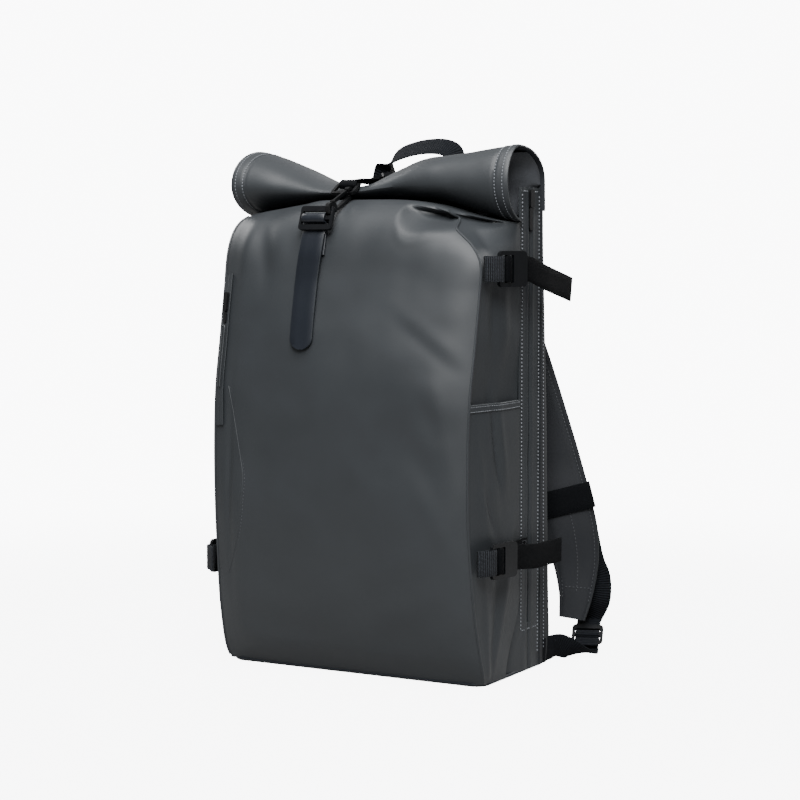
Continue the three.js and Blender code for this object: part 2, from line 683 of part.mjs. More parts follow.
function frontStrap() {
  const reach = BUCKLE_THICK / 2 + RUN_GAP + STRAP_THICK / 2;
  const layer = STRAP_THICK + RUN_GAP;
  const bar = SLIDER_BAR / 2;
  const slotLine = bar + RUN_GAP + STRAP_THICK / 2;
  const foot = SLIDER_Z - SLIDER_HEIGHT / 2;
  const skin = (z, x = STRAP_SIDE) => frontY(x, z) - STRAP_THICK / 2 - RUN_GAP;
  const hang = (t) => {
    const z = lerp(foot - 7, foot - STRAP_DROP + SLIDER_HEIGHT, t);
    const x = lerp(STRAP_SIDE, STRAP_X, smooth(t * 2));
    return V(x, skin(z, x) - (layer + 0.8) * (1 - smooth(t * 2.4 - 0.25)), z);
  };
  const seat = (v, w) => sliderAt(v, w, STRAP_SIDE);
  const path = [
    V(STRAP_SIDE, skin(foot - STRAP_TUCK), foot - STRAP_TUCK),
    V(STRAP_SIDE, skin(foot - STRAP_TUCK / 2), foot - STRAP_TUCK / 2),
    seat(-SLIDER_HEIGHT / 2, -reach - layer),
    seat(bar, -reach - layer),
    seat(slotLine, -reach - layer * 0.4),
    seat(slotLine, reach * 0.5),
    seat(bar, reach),
    seat(-bar, reach),
    seat(-slotLine, reach * 0.5),
    seat(-slotLine - 0.2, -reach * 0.5),
    seat(-slotLine - 1.6, -reach),
    seat(-SLIDER_HEIGHT / 2 - 2, -reach),
    ...steps(7).map(hang),
  ];
  const tip = path[path.length - 1];
  const down = tip.clone().sub(path[path.length - 2]).normalize();
  const round = [0.25, 0.42, 0.5].map((t) => tip.clone().addScaledVector(down, STRAP_WIDTH * t));
  path.push(...round);
  const last = path.length - 1;
  const narrow = [0.25, 0.62, 0.87];
  const width = (t) => STRAP_WIDTH * (narrow[Math.round((1 - t) * last)] ?? 1);
  add('front_strap', ribbon(path, () => V(1, 0, 0), width, STRAP_THICK), strapCoat);

  const slotWide = SLIDER_WIDTH - 2 * SLIDER_RAIL;
  const slot = (v) => roundBox(slotWide, SLIDER_SLOT, 1, 0, v).reverse();
  const slotMid = bar + SLIDER_SLOT / 2;
  const slots = [slot(slotMid), slot(-slotMid)];
  const frame = plate(roundBox(SLIDER_WIDTH, SLIDER_HEIGHT, 3), slots, BUCKLE_THICK);
  const place = new THREE.Matrix4().makeBasis(V(1, 0, 0), sliderAlong, sliderOut);
  place.setPosition(sliderAt(0, 0));
  add('front_slider', frame.applyMatrix4(place), moulded);
}

// Height of the roll's top skin at a place
function rollTop(x, y) {
  const top = BODY_HEIGHT + ROLL_RISE * rollAt('top', x);
  if (y > -ROLL_RIDGE) {
    const shoulder = lerp(BACK_TOP + 6, top, 0.42);
    const cos = 1 - (y - ROLL_BACK) / (-ROLL_RIDGE - ROLL_BACK);
    return lerp(shoulder, top, Math.sqrt(Math.max(0, 1 - cos * cos)));
  }
  const nose = BODY_HEIGHT + ROLL_RISE * rollAt('nose', x);
  const sin = clamp01((y + ROLL_RIDGE) / (-ROLL_REACH * rollAt('reach', x) + ROLL_RIDGE));
  return lerp(top, nose, 1 - Math.sqrt(1 - sin * sin));
}

add('front_panel', frontPanel(), coated);
add('base_panel', basePanel(), coated);
add('back_panel', backPanel(), padding);
add('roll_collar', rollCollar(), coated);
[[1, 'right'], [-1, 'left']].forEach(([side, name]) => {
  add(`side_panel_${name}`, sidePanel(side), coated);
  add(`side_pocket_${name}`, pocket(side), coated);
  add(`strip_front_${name}`, stripFlap(side, true), coated);
  add(`strip_rear_${name}`, stripFlap(side, false), coated);
  add(`zip_tape_${name}`, zipTape(side), webbing);
  add(`roll_tuck_${name}`, rollTuck(side), coated);
});
SIDE_STRAPS.forEach(sideStrap);

frontStrap();

// The rectangular ring that hangs from the closure webbing
const ringLean = THREE.MathUtils.degToRad(RING_LEAN);
const ringAlong = V(0, Math.cos(ringLean), Math.sin(ringLean));
const ringOut = V(0, -Math.sin(ringLean), Math.cos(ringLean));
const ringAt = (v, w) => V(RING_X, -RING_FORE, BODY_HEIGHT + RING_RISE)
  .addScaledVector(ringAlong, v).addScaledVector(ringOut, w);

function ring() {
  const hole = roundBox(RING_WIDTH - 2 * RING_BAR, RING_LENGTH - 2 * RING_BAR, 0.6).reverse();
  const body = plate(roundBox(RING_WIDTH, RING_LENGTH, 3), [hole], RING_BAR);
  const place = new THREE.Matrix4().makeBasis(V(1, 0, 0), ringAlong, ringOut);
  place.setPosition(ringAt(0, 0));
  return body.applyMatrix4(place);
}
add('closure_ring', ring(), metal);

// The webbing from the back of the bag over the roll, round the ring and through its adjuster
function closure() {
  const backBar = RING_LENGTH / 2 - RING_BAR / 2;
  const around = RING_BAR / 2 + 2 * RUN_GAP + WEB_THICK / 2;
  const xAt = (y) => lerp(RING_X, CLOSURE_BACK_X, (y + RING_FORE) / (ROLL_BACK + RING_FORE));
  const over = (y, lift) => {
    const x = xAt(y);
    const crest = Math.max(...[-10, 0, 10].map((d) => rollTop(x + d, y) - d * slope(x, y)));
    return V(x, y, crest + lift);
  };
  const slope = (x, y) => (rollTop(x + 12, y) - rollTop(x - 12, y)) / 24;
  const wide = (p) => V(1, 0, p.y < 20.5 - RING_FORE ? 0 : slope(p.x, p.y));
  const lift = WEB_THICK / 2 + 2 * RUN_GAP;
  const lock = BUCKLE_THICK / 2 + RUN_GAP + WEB_THICK / 2;
  const half = ADJUSTER_LENGTH / 2;
  const along = over(ADJUSTER_Y + 12, 0).sub(over(ADJUSTER_Y - 12, 0)).normalize();
  const x = V(1, 0, slope(xAt(ADJUSTER_Y), ADJUSTER_Y));
  x.addScaledVector(along, -x.dot(along)).normalize();
  const out = x.clone().cross(along);
  const seat = (v, w) => over(ADJUSTER_Y, lift + lock + 0.8)
    .addScaledVector(along, v).addScaledVector(out, w);
  const slotLine = ADJUSTER_BAR / 2 + RUN_GAP + WEB_THICK / 2 + 0.1;
  const through = [
    [-half, -lock], [-slotLine - 1.4, -lock], [-slotLine - 0.2, -lock * 0.5], [-slotLine, lock * 0.7],
    [-slotLine + 0.9, lock],
  ];
  const toRing = [
    ringAt(backBar + around + 5, -around),
    ringAt(backBar - 1.2, -around),
    ringAt(backBar - around, -1.2),
    ringAt(backBar - around, 1.2),
    ringAt(backBar - 1.2, around),
    ringAt(backBar + 3, around + 0.4),
    over(20.5 - RING_FORE, lift + 4),
    over(28.5 - RING_FORE, lift + 2.4),
  ];
  const inLock = [
    ...through.map(([v, w]) => seat(v, w)),
    ...through.reverse().map(([v, w]) => seat(-v, w)),
  ];
  const path = [
    ...toRing,
    ...inLock,
    over(ROLL_BACK - 22.7, lift + 0.8),
    over(ROLL_BACK - 9.7, lift + 1),
    over(ROLL_BACK - 3.2, lift + 1.4),
    V(CLOSURE_BACK_X, ROLL_BACK + lift + 1, BODY_HEIGHT + 5),
    V(CLOSURE_BACK_X, ROLL_BACK + lift + 0.4, BACK_TOP + 4),
  ];
  const across = (t) => {
    const p = path[Math.round(t * (path.length - 1))];
    return inLock.includes(p) ? x : wide(p);
  };
  add('closure_webbing', ribbon(path, across, CLOSURE_WEB, WEB_THICK), webbing);

  const slotMid = (ADJUSTER_BAR + BUCKLE_SLOT) / 2;
  const slot = (v) => roundBox(CLOSURE_WEB + 1.6, BUCKLE_SLOT, 1, 0, v).reverse();
  const slots = [slot(slotMid), slot(-slotMid)];
  const frame = plate(roundBox(ADJUSTER_HEIGHT, ADJUSTER_LENGTH, 4), slots, BUCKLE_THICK);
  const place = new THREE.Matrix4().makeBasis(x, along, out);
  place.setPosition(seat(0, 0));
  add('closure_adjuster', frame.applyMatrix4(place), moulded);
}
closure();

// A die-cast snap hook between the slider's top bar and the ring's front bar, with a sprung gate
// that swings inwards on a pin at the neck
function snapHook() {
  const eye = sliderAt((SLIDER_TOP + SLIDER_HEIGHT / 2) / 2, 0, HOOK_X);
  const mouth = ringAt(-RING_LENGTH / 2 + RING_BAR / 2, 0).setX(HOOK_X);
  const span = mouth.distanceTo(eye);
  const along = mouth.clone().sub(eye).normalize();
  const up = V(-1, 0, 0).cross(along).normalize();
  if (up.z < 0) up.negate();
  const side = along.clone().cross(up);
  const place = new THREE.Matrix4().makeBasis(along, up, side);
  place.setPosition(eye);
  const eyeOut = EYE_RADIUS + HOOK_WALL;
  const mouthOut = MOUTH_RADIUS + HOOK_WALL;
  const neckEnd = eyeOut + HOOK_WALL;
  const disc = (r, x, y = 0, n = 16) => steps(n).slice(0, n).map((t) => new THREE.Vector2(
    x + r * Math.cos(2 * Math.PI * t), y + r * Math.sin(2 * Math.PI * t)));
  const prism = (points, thick, hole) => solid(plate(points, hole ? [hole] : [], thick));
  const bar = (x0, x1, y0, y1) => [
    new THREE.Vector2(x0, y0), new THREE.Vector2(x1, y0),
    new THREE.Vector2(x1, y1), new THREE.Vector2(x0, y1),
  ];
  const pinX = neckEnd - 0.2;
  const pinY = mouthOut - HOOK_WALL + 0.4;
  const gateTip = span - MOUTH_RADIUS * 0.9;
  const grip = 0.5;
  const eyeRing = prism(disc(eyeOut, 0), HOOK_THICK, disc(EYE_RADIUS, 0).reverse());
  const bight = prism(disc(mouthOut, span), HOOK_THICK, disc(MOUTH_RADIUS, span).reverse());
  const spine = prism(bar(eyeOut - grip, span, -mouthOut, -MOUTH_RADIUS), HOOK_THICK);
  const neck = prism(bar(eyeOut - 2 * grip, neckEnd + grip, -mouthOut, mouthOut - grip), HOOK_THICK);
  const mouthCut = bar(neckEnd + 2 * grip, gateTip + GATE_OPEN, -MOUTH_RADIUS, 2 * mouthOut);
  const opening = prism(mouthCut, 2 * HOOK_THICK);
  const forkLow = pinY - GATE_HALF - 2 * GATE_OPEN;
  const fork = prism(bar(eyeOut + GATE_OPEN, 2 * neckEnd, forkLow, 2 * mouthOut), GATE_THICK + 2 * GATE_OPEN);
  const forkEnd = prism(bar(gateTip + GATE_OPEN, 2 * span, -2 * mouthOut, 2 * mouthOut), 2 * HOOK_THICK);
  const pin = solid(new THREE.CylinderGeometry(PIN_RADIUS, PIN_RADIUS, HOOK_THICK, 12)
    .rotateX(Math.PI / 2).translate(pinX, pinY, 0));
  const frame = eyeRing.add(bight).add(spine).add(neck).subtract(opening);
  const body = frame.subtract(fork.subtract(forkEnd)).add(pin);
  add('snap_hook', toGeometry(body).applyMatrix4(place), metal);

  const rear = pinX - GATE_HALF;
  const tipHalf = GATE_HALF * 0.65;
  const outline = [
    [rear, -GATE_HALF / 2], [rear + GATE_HALF / 2, -GATE_HALF], [pinX + GATE_HALF, -GATE_HALF],
    [gateTip, -tipHalf], [gateTip, tipHalf], [pinX + GATE_HALF, GATE_HALF],
    [rear + GATE_HALF / 2, GATE_HALF], [rear, GATE_HALF / 2],
  ].map(([x, y]) => new THREE.Vector2(x, pinY + y));
  const hole = disc(PIN_RADIUS + GATE_OPEN, pinX, pinY, 12).reverse();
  add('hook_gate', plate(outline, [hole], GATE_THICK).applyMatrix4(place), metal);
}
snapHook();

// The carrying handle: a loop of webbing sewn to the back, its middle leaning backwards
function grabHandle() {
  const half = HANDLE_SPAN / 2;
  const foot = BODY_HEIGHT - HANDLE_SEWN;
  const rise = HANDLE_RISE + HANDLE_SEWN;
  const seat = ROLL_BACK + WEB_THICK + RUN_GAP;
  const left = [[-1, 0], [-1, 0.3], [-0.98, 0.52], [-0.86, 0.74], [-0.58, 0.9], [-0.2, 0.97]];
  const right = [[0.2, 1], [0.6, 0.99], [0.86, 0.93], [0.98, 0.78], [1, 0.52], [1, 0.3], [1, 0]];
  const path = [...left, ...right].map(([x, up]) => V(
    HANDLE_SHIFT + half * x, seat + 0.6 + 5.5 * smooth((up - 0.35) / 0.6), foot + rise * up));
  const line = curve(path, 30);
  const across = (t) => {
    const lean = smooth((line[Math.round(t * 30)].z - BODY_HEIGHT - 20) / 30);
    return V(1 - lean, 0.72 * lean, 0.68 * lean);
  };
  add('grab_handle', ribbon(line, across, HANDLE_WEB, WEB_THICK), webbing);
}
grabHandle();

// A padded strap: rounded sections along a middle line. across and out give the width and
// thickness directions of each row
function pad(rows, sides = 10) {
  const ring = (row) => steps(sides).slice(0, sides).map((t) => {
    const a = 2 * Math.PI * t + Math.PI / sides;
    const c = Math.sign(Math.cos(a)) * Math.abs(Math.cos(a)) ** 0.5;
    const d = Math.sign(Math.sin(a)) * Math.abs(Math.sin(a)) ** 0.7;
    return row.at.clone().addScaledVector(row.across, (c * row.width) / 2)
      .addScaledVector(row.out, (d * row.thick) / 2);
  });
  const rings = rows.map(ring);
  const points = rings.flat().flatMap((p) => [p.x, p.y, p.z]);
  const faces = [];
  const at = (r, c) => r * sides + (c % sides);
  for (let r = 0; r < rows.length - 1; r += 1) {
    for (let c = 0; c < sides; c += 1) {
      faces.push(at(r, c), at(r, c + 1), at(r + 1, c + 1), at(r, c), at(r + 1, c + 1), at(r + 1, c));
    }
  }
  for (let c = 1; c < sides - 1; c += 1) {
    faces.push(at(0, 0), at(0, c + 1), at(0, c));
    const last = rows.length - 1;
    faces.push(at(last, 0), at(last, c), at(last, c + 1));
  }
  return outward(points, faces);
}

// Middle line of the right shoulder strap. down: height, of the body's; out: distance from the
// middle, of half the width; back: distance behind the back panel, of the depth; turn: its
// width direction turned from across, degrees; wide, thick: of the pad's width and thickness
const SHOULDER = columns(
  ['down', 'out', 'back', 'turn', 'wide', 'thick'],
  [
    [0.960, 0.360, 0.035, 0, 0.90, 0.60],
    [0.955, 0.370, 0.130, 0, 0.95, 0.90],
    [0.925, 0.390, 0.230, 2, 1.00, 1.00],
    [0.860, 0.440, 0.320, 4, 1.05, 1.00],
    [0.760, 0.530, 0.390, 8, 1.08, 1.00],
    [0.640, 0.660, 0.430, 12, 1.06, 1.00],
    [0.520, 0.780, 0.470, 18, 1.02, 1.00],
    [0.420, 0.870, 0.510, 22, 1.00, 1.00],
    [0.340, 0.940, 0.525, 26, 1.00, 1.00],
    [0.270, 0.990, 0.545, 28, 0.98, 1.00],
    [0.200, 1.005, 0.570, 28, 0.88, 0.95],
    [0.130, 1.000, 0.560, 28, 0.70, 0.85],
    [0.075, 0.985, 0.530, 28, 0.54, 0.55],
  ],
);

// A row of the shoulder strap: its centre, its width and thickness directions and its size
function shoulderRow(side, i) {
  const row = SHOULDER[i];
  const centre = (r) => V(
    side * HALF_W * r.out, HALF_D * BACK_LEVEL + BODY_DEPTH * r.back, BODY_HEIGHT * r.down);
  const turn = THREE.MathUtils.degToRad(row.turn);
  const before = centre(SHOULDER[Math.max(0, i - 1)]);
  const along = centre(SHOULDER[Math.min(SHOULDER.length - 1, i + 1)]).sub(before).normalize();
  const across = V(side * Math.cos(turn), Math.sin(turn), 0);
  across.addScaledVector(along, -across.dot(along)).normalize();
  const out = across.clone().cross(along).normalize();
  if (out.y < 0) out.negate();
  return { at: centre(row), across, out, width: PAD_WIDTH * row.wide, thick: PAD_THICK * row.thick };
}

// A point on the strap's row, by shares of its half width and by the distance off its back skin
function shoulderPoint(side, i, share, off, lift = 0) {
  const row = shoulderRow(side, i);
  return row.at.clone().addScaledVector(row.across, (share * row.width) / 2)
    .addScaledVector(row.out, row.thick / 2 + off).setZ(row.at.z + lift);
}

function shoulderStrap(side, name) {
  const rows = SHOULDER.map((row, i) => shoulderRow(side, i));
  add(`shoulder_strap_${name}`, pad(rows), padding);
}

// The elastic band round the strap that the chest strap clips to
function chestBand(side, name) {
  const row = shoulderRow(side, BAND_ROW);
  const halfW = row.width / 2 + WEB_THICK / 2 + 2 * RUN_GAP;
  const halfT = row.thick / 2 + WEB_THICK / 2 + 2 * RUN_GAP;
  const corner = 3;
  const outline = roundBox(2 * halfW, 2 * halfT, corner);
  const at = (p) => row.at.clone().addScaledVector(row.across, p.x).addScaledVector(row.out, p.y);
  const open = outline.slice(2).concat(outline.slice(0, 1)).map(at);
  const along = row.across.clone().cross(row.out);
  add(`chest_band_${name}`, ribbon(open, () => along, BAND_HEIGHT, WEB_THICK), webbing);
}

// The webbing from the strap's foot to a ladder lock that lies behind the bag, and from there
// to the bag's bottom corner
function footStrap(side, name) {
  const lock = ladderLock(FOOT_LOCK_LENGTH, FOOT_LOCK_HEIGHT, WEB);
  const tilt = THREE.MathUtils.degToRad(FOOT_LOCK_TILT);
  const turn = THREE.MathUtils.degToRad(FOOT_LOCK_TURN);
  const wide = V(side * Math.cos(turn), Math.sin(turn), 0);
  const long = V(-side * Math.sin(turn) * Math.cos(tilt), Math.cos(turn) * Math.cos(tilt), Math.sin(tilt));
  const out = wide.clone().cross(long).multiplyScalar(side);
  const centre = V(side * (HALF_W + FOOT_LOCK_OUT), HALF_D + FOOT_LOCK_BACK, FOOT_LOCK_Z);
  const at = (v, w) => centre.clone().addScaledVector(long, v).addScaledVector(out, w);
  const basis = new THREE.Matrix4().makeBasis(long, wide.clone().multiplyScalar(-side), out);
  basis.setPosition(centre);
  add(`foot_buckle_${name}`, lock.geometry.applyMatrix4(basis), moulded);

  const half = FOOT_LOCK_LENGTH / 2;
  const low = -REACH - WEB_THICK - RUN_GAP;
  const fold = REACH * 0.6;
  const inLine = lock.middleBar - RUN_GAP - WEB_THICK;
  const outLine = lock.secondSlot + RUN_GAP + WEB_THICK;
  const rest = WEB_THICK / 2 + RUN_GAP;
  const hang = [
    shoulderPoint(side, FOOT_ROW, 0.45, rest, 10),
    shoulderPoint(side, FOOT_ROW + 1, 0.75, rest + 3),
    shoulderPoint(side, FOOT_ROW + 1, 1.05, rest + 6, -18),
    shoulderPoint(side, FOOT_ROW + 2, 1.4, rest + 8, -8),
  ];
  const strap = [
    ...hang,
    at(half + 16, low - 1.5),
    at(half + 6, low),
    at(lock.middleBar + 2, low),
    at(inLine, low + 1.2),
    at(inLine, fold),
    at(inLine + 1, REACH),
    at(outLine - 1, REACH),
    at(outLine, fold),
    at(outLine, -fold),
    at(outLine + 1.4, -REACH),
    at(half + 4, -REACH),
    at(half + 12, -REACH + 0.8),
  ];
  const last = strap.length - 1;
  const padWide = shoulderRow(side, FOOT_ROW).across;
  const across = (t) => padWide.clone().lerp(wide, smooth((t * last - 1) / 3));
  add(`foot_webbing_${name}`, ribbon(strap, across, WEB, WEB_THICK), webbing);

  const loopLine = lock.slotStart + RUN_GAP + WEB_THICK;
  const corner = side * (HALF_W + rest);
  const anchor = [
    V(corner, ANCHOR_Y, ANCHOR_Z),
    V(corner, HALF_D - 2, ANCHOR_Z),
    V(corner + side * 3, HALF_D + 12, ANCHOR_Z),
    at(lock.nearBar - 16, -REACH * 0.5).lerp(V(corner + side * 3, HALF_D + 12, ANCHOR_Z), 0.4),
    at(lock.nearBar - 9, -REACH - 1),
    at(lock.nearBar - 3, -REACH - 0.4),
    at(loopLine - 1, -REACH),
    at(loopLine, -fold),
    at(loopLine, fold),
    at(loopLine - 1, REACH),
    at(lock.nearBar - 2, REACH),
    at(lock.nearBar - 6, REACH - 0.4),
  ];
  const twist = (t) => V(0, 0, 1).lerp(wide, smooth((t * (anchor.length - 1) - 1) / 3));
  add(`anchor_webbing_${name}`, ribbon(anchor, twist, WEB, WEB_THICK), webbing);
}
[[1, 'right'], [-1, 'left']].forEach(([side, name]) => {
  shoulderStrap(side, name);
  chestBand(side, name);
  footStrap(side, name);
});

// A zip's slider with its pull tab. at gives a point of the zip's line and its outward
// direction for a height
function zipSlider(name, at, top, size) {
  const place = (z, lift) => {
    const { point, out } = at(z);
    const up = at(z + 3).point.sub(at(z - 3).point).normalize();
    out.addScaledVector(up, -out.dot(up)).normalize();
    const basis = new THREE.Matrix4().makeBasis(up.clone().cross(out), up, out);
    return basis.setPosition(point.addScaledVector(out, lift));
  };
  const body = plate(roundBox(size.width, size.length, 2), [], ZIP_BODY);
  const tab = plate(roundBox(size.tabWidth, size.tab, 2), [], ZIP_TAB);
  const gap = size.seat + RUN_GAP;
  const middle = top - size.below;
  add(`${name}_slider`, body.applyMatrix4(place(middle, gap + ZIP_BODY / 2)), metal);
  const tabZ = middle - size.length / 2 - size.tab / 2 - RUN_GAP;
  add(`${name}_pull`, tab.applyMatrix4(place(tabZ, gap + ZIP_TAB / 2)), metal);
  return { gap, low: tabZ - size.tab / 2 };
}

[[1, 'right'], [-1, 'left']].forEach(([side, name]) => {
  const at = (z) => ({ point: V(side * HALF_W, ZIP_LINE, z), out: V(side, 0, 0) });
  zipSlider(`side_zip_${name}`, at, STRIP_TOP, SIDE_ZIP);
});

// The zip set in the front panel's left rounding, its slider and the loop on its pull
function frontZip() {
  const at = (z) => {
    const up = (z - WALL_FOOT) / (topLine(FRONT_ZIP_X) - WALL_FOOT);
    const s = FRONT_ZIP_X / (HALF_W * sectionAt('left', up));
    const wide = frontPoint(s + 0.02, up).sub(frontPoint(s - 0.02, up)).normalize();
    return { point: frontPoint(s, up), wide, out: wide.clone().cross(V(0, 0, 1)).normalize() };
  };
  const heights = steps(7).map((t) => FRONT_ZIP_TOP - FRONT_ZIP_LENGTH * t);
  const line = heights.map((z) => {
    const { point, out } = at(z);
    return point.addScaledVector(out, RUN_GAP + ZIP_TAPE_THICK / 2);
  });
  const across = (t) => at(heights[Math.round(t * 7)]).wide;
  add('front_zip', ribbon(line, across, FRONT_ZIP_WIDE, ZIP_TAPE_THICK), webbing);

  const { gap, low } = zipSlider('front_zip', at, FRONT_ZIP_TOP, FRONT_ZIP);
  const loop = (t) => {
    const angle = Math.PI * clamp01((t - 0.4) / 0.2);
    const run = Math.min(t, 1 - t, 0.4) / 0.4;
    const half = LOOP_SPREAD / 2;
    const z = low - RUN_GAP - LOOP_THICK - half - LOOP_LENGTH * (1 - run) + half * Math.sin(angle);
    const { point, wide, out } = at(z);
    return point.addScaledVector(out, gap + LOOP_THICK / 2).addScaledVector(wide, -half * Math.cos(angle));
  };
  const path = [0, 0.13, 0.27, 0.4, 0.45, 0.5, 0.55, 0.6, 0.73, 0.87, 1].map(loop);
  const outAt = (t) => at(path[Math.round(t * 10)].z).out;
  add('front_zip_loop', ribbon(path, outAt, LOOP_THICK, LOOP_THICK), webbing);
}
frontZip();

export default group;
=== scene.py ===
# Rolltop backpack: cloth panels, straps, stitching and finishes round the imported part.
# Lengths are millimetres until a mesh is made. X points right seen from the front, Y to the
# wearer's back, Z up.

import math

import bpy
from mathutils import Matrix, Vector, noise


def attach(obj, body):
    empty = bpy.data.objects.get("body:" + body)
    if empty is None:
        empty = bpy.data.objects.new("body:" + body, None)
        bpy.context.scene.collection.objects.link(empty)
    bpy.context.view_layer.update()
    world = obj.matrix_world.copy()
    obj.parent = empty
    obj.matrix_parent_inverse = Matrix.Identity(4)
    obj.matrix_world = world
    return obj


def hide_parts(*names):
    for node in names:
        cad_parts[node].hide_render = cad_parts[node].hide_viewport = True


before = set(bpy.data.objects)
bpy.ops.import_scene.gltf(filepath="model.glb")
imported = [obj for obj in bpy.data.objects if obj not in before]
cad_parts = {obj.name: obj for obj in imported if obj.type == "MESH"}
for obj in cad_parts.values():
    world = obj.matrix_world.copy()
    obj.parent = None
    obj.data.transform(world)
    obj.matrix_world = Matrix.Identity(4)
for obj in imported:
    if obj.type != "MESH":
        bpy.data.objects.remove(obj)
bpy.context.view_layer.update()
MM = 0.001

# Main body
BODY_WIDTH, BODY_DEPTH, BODY_HEIGHT = 300, 154, 480
WALL, SEAM_GAP, PANEL_CORNER = 2.2, 0.5, 8
BASE_THICK, BASE_CORNER = 2.4, 14
HALF_W, HALF_D = BODY_WIDTH / 2, BODY_DEPTH / 2
WALL_FOOT = BASE_THICK + 0.3

# Back compartment and its zip
STRIP_FRONT, STRIP_REAR, STRIP_TOP, STRIP_TUCK = 3, 49, 491, 30
TUCK_HEIGHT, TUCK_DEPTH = 85, 5
ZIP_LINE, ZIP_SLIT, ZIP_FOOT, ZIP_TAPE, ZIP_TAPE_THICK = 24, 3, 50, 22, 1
BACK_PAD, BACK_TOP = 9, 469

# Roll at the top
ROLL_WIDTH, ROLL_RISE, ROLL_DROP, ROLL_REACH = 307, 53, 24, 60
ROLL_RIDGE, ROLL_BACK, ROLL_TAIL, ROLL_SEAT, BACK_LAP = 6, 52.7, 2, 1, 1.5
TUCK_REACH, TUCK_SINK = 46, 6
ROLL_CORE_Y, ROLL_CORE_Z = 2, 488

# Side pockets, webbing and buckles
POCKET_HEIGHT, POCKET_SLACK = 279, 6
WEB, WEB_THICK, RUN_GAP = 25, 1.4, 0.4
BUCKLE_LENGTH, BUCKLE_THICK, BUCKLE_BAR = 42, 3.4, 4
LOOP_SLOT = 7.5
REACH = BUCKLE_THICK / 2 + RUN_GAP + WEB_THICK / 2
LOCK_LOW = -REACH - WEB_THICK - RUN_GAP

# Front strap and its slider
STRAP_X, STRAP_WIDTH, STRAP_THICK, STRAP_DROP, STRAP_TUCK = -34, 26, 2.4, 130, 24
SLIDER_X, SLIDER_STAND, SLIDER_Z, SLIDER_LEAN = -27, 14, 460, math.radians(20)
SLIDER_WIDTH, SLIDER_HEIGHT, SLIDER_RAIL, SLIDER_BAR = 38, 25, 2.8, 4
STRAP_SIDE = SLIDER_X - SLIDER_WIDTH / 2 + SLIDER_RAIL + 2 * RUN_GAP + STRAP_WIDTH / 2

# Closure over the roll
RING_LENGTH, RING_BAR, RING_X, RING_FORE, RING_Z = 19, 3, -21, 50.5, 490
RING_LEAN = math.radians(32)
CLOSURE_WEB, CLOSURE_BACK_X = 20, 8
ADJUSTER_LENGTH, ADJUSTER_Y, ADJUSTER_BAR = 30, 2, 4

# Carrying straps
HANDLE_WEB, HANDLE_SPAN, HANDLE_RISE, HANDLE_FOOT = 24, 92, 537, 452
PAD_WIDTH, PAD_THICK, BACK_LEVEL = 52, 9, 0.72
BAND_HEIGHT, BAND_ROW, FOOT_ROW = 28, 8, 9
FOOT_LOCK_LENGTH, FOOT_LOCK_TILT, FOOT_LOCK_TURN = 28, math.radians(32), math.radians(20)
FOOT_LOCK_OUT, FOOT_LOCK_BACK, FOOT_LOCK_Z = 14, 64, 20
ANCHOR_Y, ANCHOR_Z = 56, 16

# Front zip and its pull loop
FRONT_ZIP_X, FRONT_ZIP_TOP, FRONT_ZIP_FOOT, FRONT_ZIP_WIDE = -136, 404, 250, 10
ZIP_TAB_LOW, LOOP_THICK, LOOP_SPREAD, LOOP_LENGTH = 353.6, 1.6, 4.5, 60


def lerp(a, b, t):
    return a + (b - a) * t


def clamp01(t):
    return min(1.0, max(0.0, t))


def smooth(t):
    t = clamp01(t)
    return t * t * (3 - 2 * t)


def hill(t):
    return math.sin(math.pi * clamp01(t))


def ridge(x, middle, spread):
    """1 at the middle, falling away smoothly on both sides."""
    return math.exp(-((x - middle) / spread) ** 2)


def shares(n):
    return [i / n for i in range(n + 1)]


def columns(names, rows):
    return [dict(zip(names, row)) for row in rows]


def read(table, key, column, at):
    """One column of a table at a place, along a smooth curve through its rows."""
    i = 0
    while i < len(table) - 2 and at > table[i + 1][key]:
        i += 1
    a, b = table[i], table[i + 1]
    before, after = table[max(0, i - 1)], table[min(len(table) - 1, i + 2)]
    span = b[key] - a[key]
    t = clamp01((at - a[key]) / span)
    slope_a = (b[column] - before[column]) / (b[key] - before[key]) * span
    slope_b = (after[column] - a[column]) / (after[key] - a[key]) * span
    u, w = t * t, t * t * t
    return ((2 * w - 3 * u + 1) * a[column] + (w - 2 * u + t) * slope_a
            + (3 * u - 2 * w) * b[column] + (w - u) * slope_b)


# Sections of the front panel and the side seams, by share of the height under the roll
SECTIONS = columns(
    ("up", "fore", "right", "left", "edge", "belly", "side"),
    [
        (0.000, 0.942, 0.987, 0.987, 0.008, 0.000, 0.000),
        (0.025, 1.006, 1.000, 1.000, 0.020, 0.006, 0.005),
        (0.065, 1.090, 1.000, 0.997, 0.040, 0.020, 0.012),
        (0.145, 1.195, 0.990, 0.990, 0.052, 0.032, 0.020),
        (0.240, 1.273, 0.980, 0.980, 0.058, 0.039, 0.022),
        (0.358, 1.338, 0.973, 0.973, 0.058, 0.039, 0.026),
        (0.495, 1.350, 0.973, 0.973, 0.058, 0.039, 0.026),
        (0.622, 1.312, 0.977, 0.973, 0.065, 0.045, 0.020),
        (0.738, 1.195, 0.983, 0.973, 0.071, 0.052, 0.014),
        (0.845, 1.090, 0.987, 0.973, 0.065, 0.045, -0.006),
        (0.910, 1.040, 0.980, 0.970, 0.058, 0.039, 0.010),
        (0.944, 0.993, 0.907, 0.960, 0.045, 0.032, 0.016),
        (0.970, 0.909, 0.767, 0.950, 0.032, 0.020, 0.014),
        (0.988, 0.805, 0.693, 0.927, 0.013, 0.006, 0.008),
        (1.000, 0.649, 0.640, 0.893, 0.008, 0.000, 0.000),
    ],
)

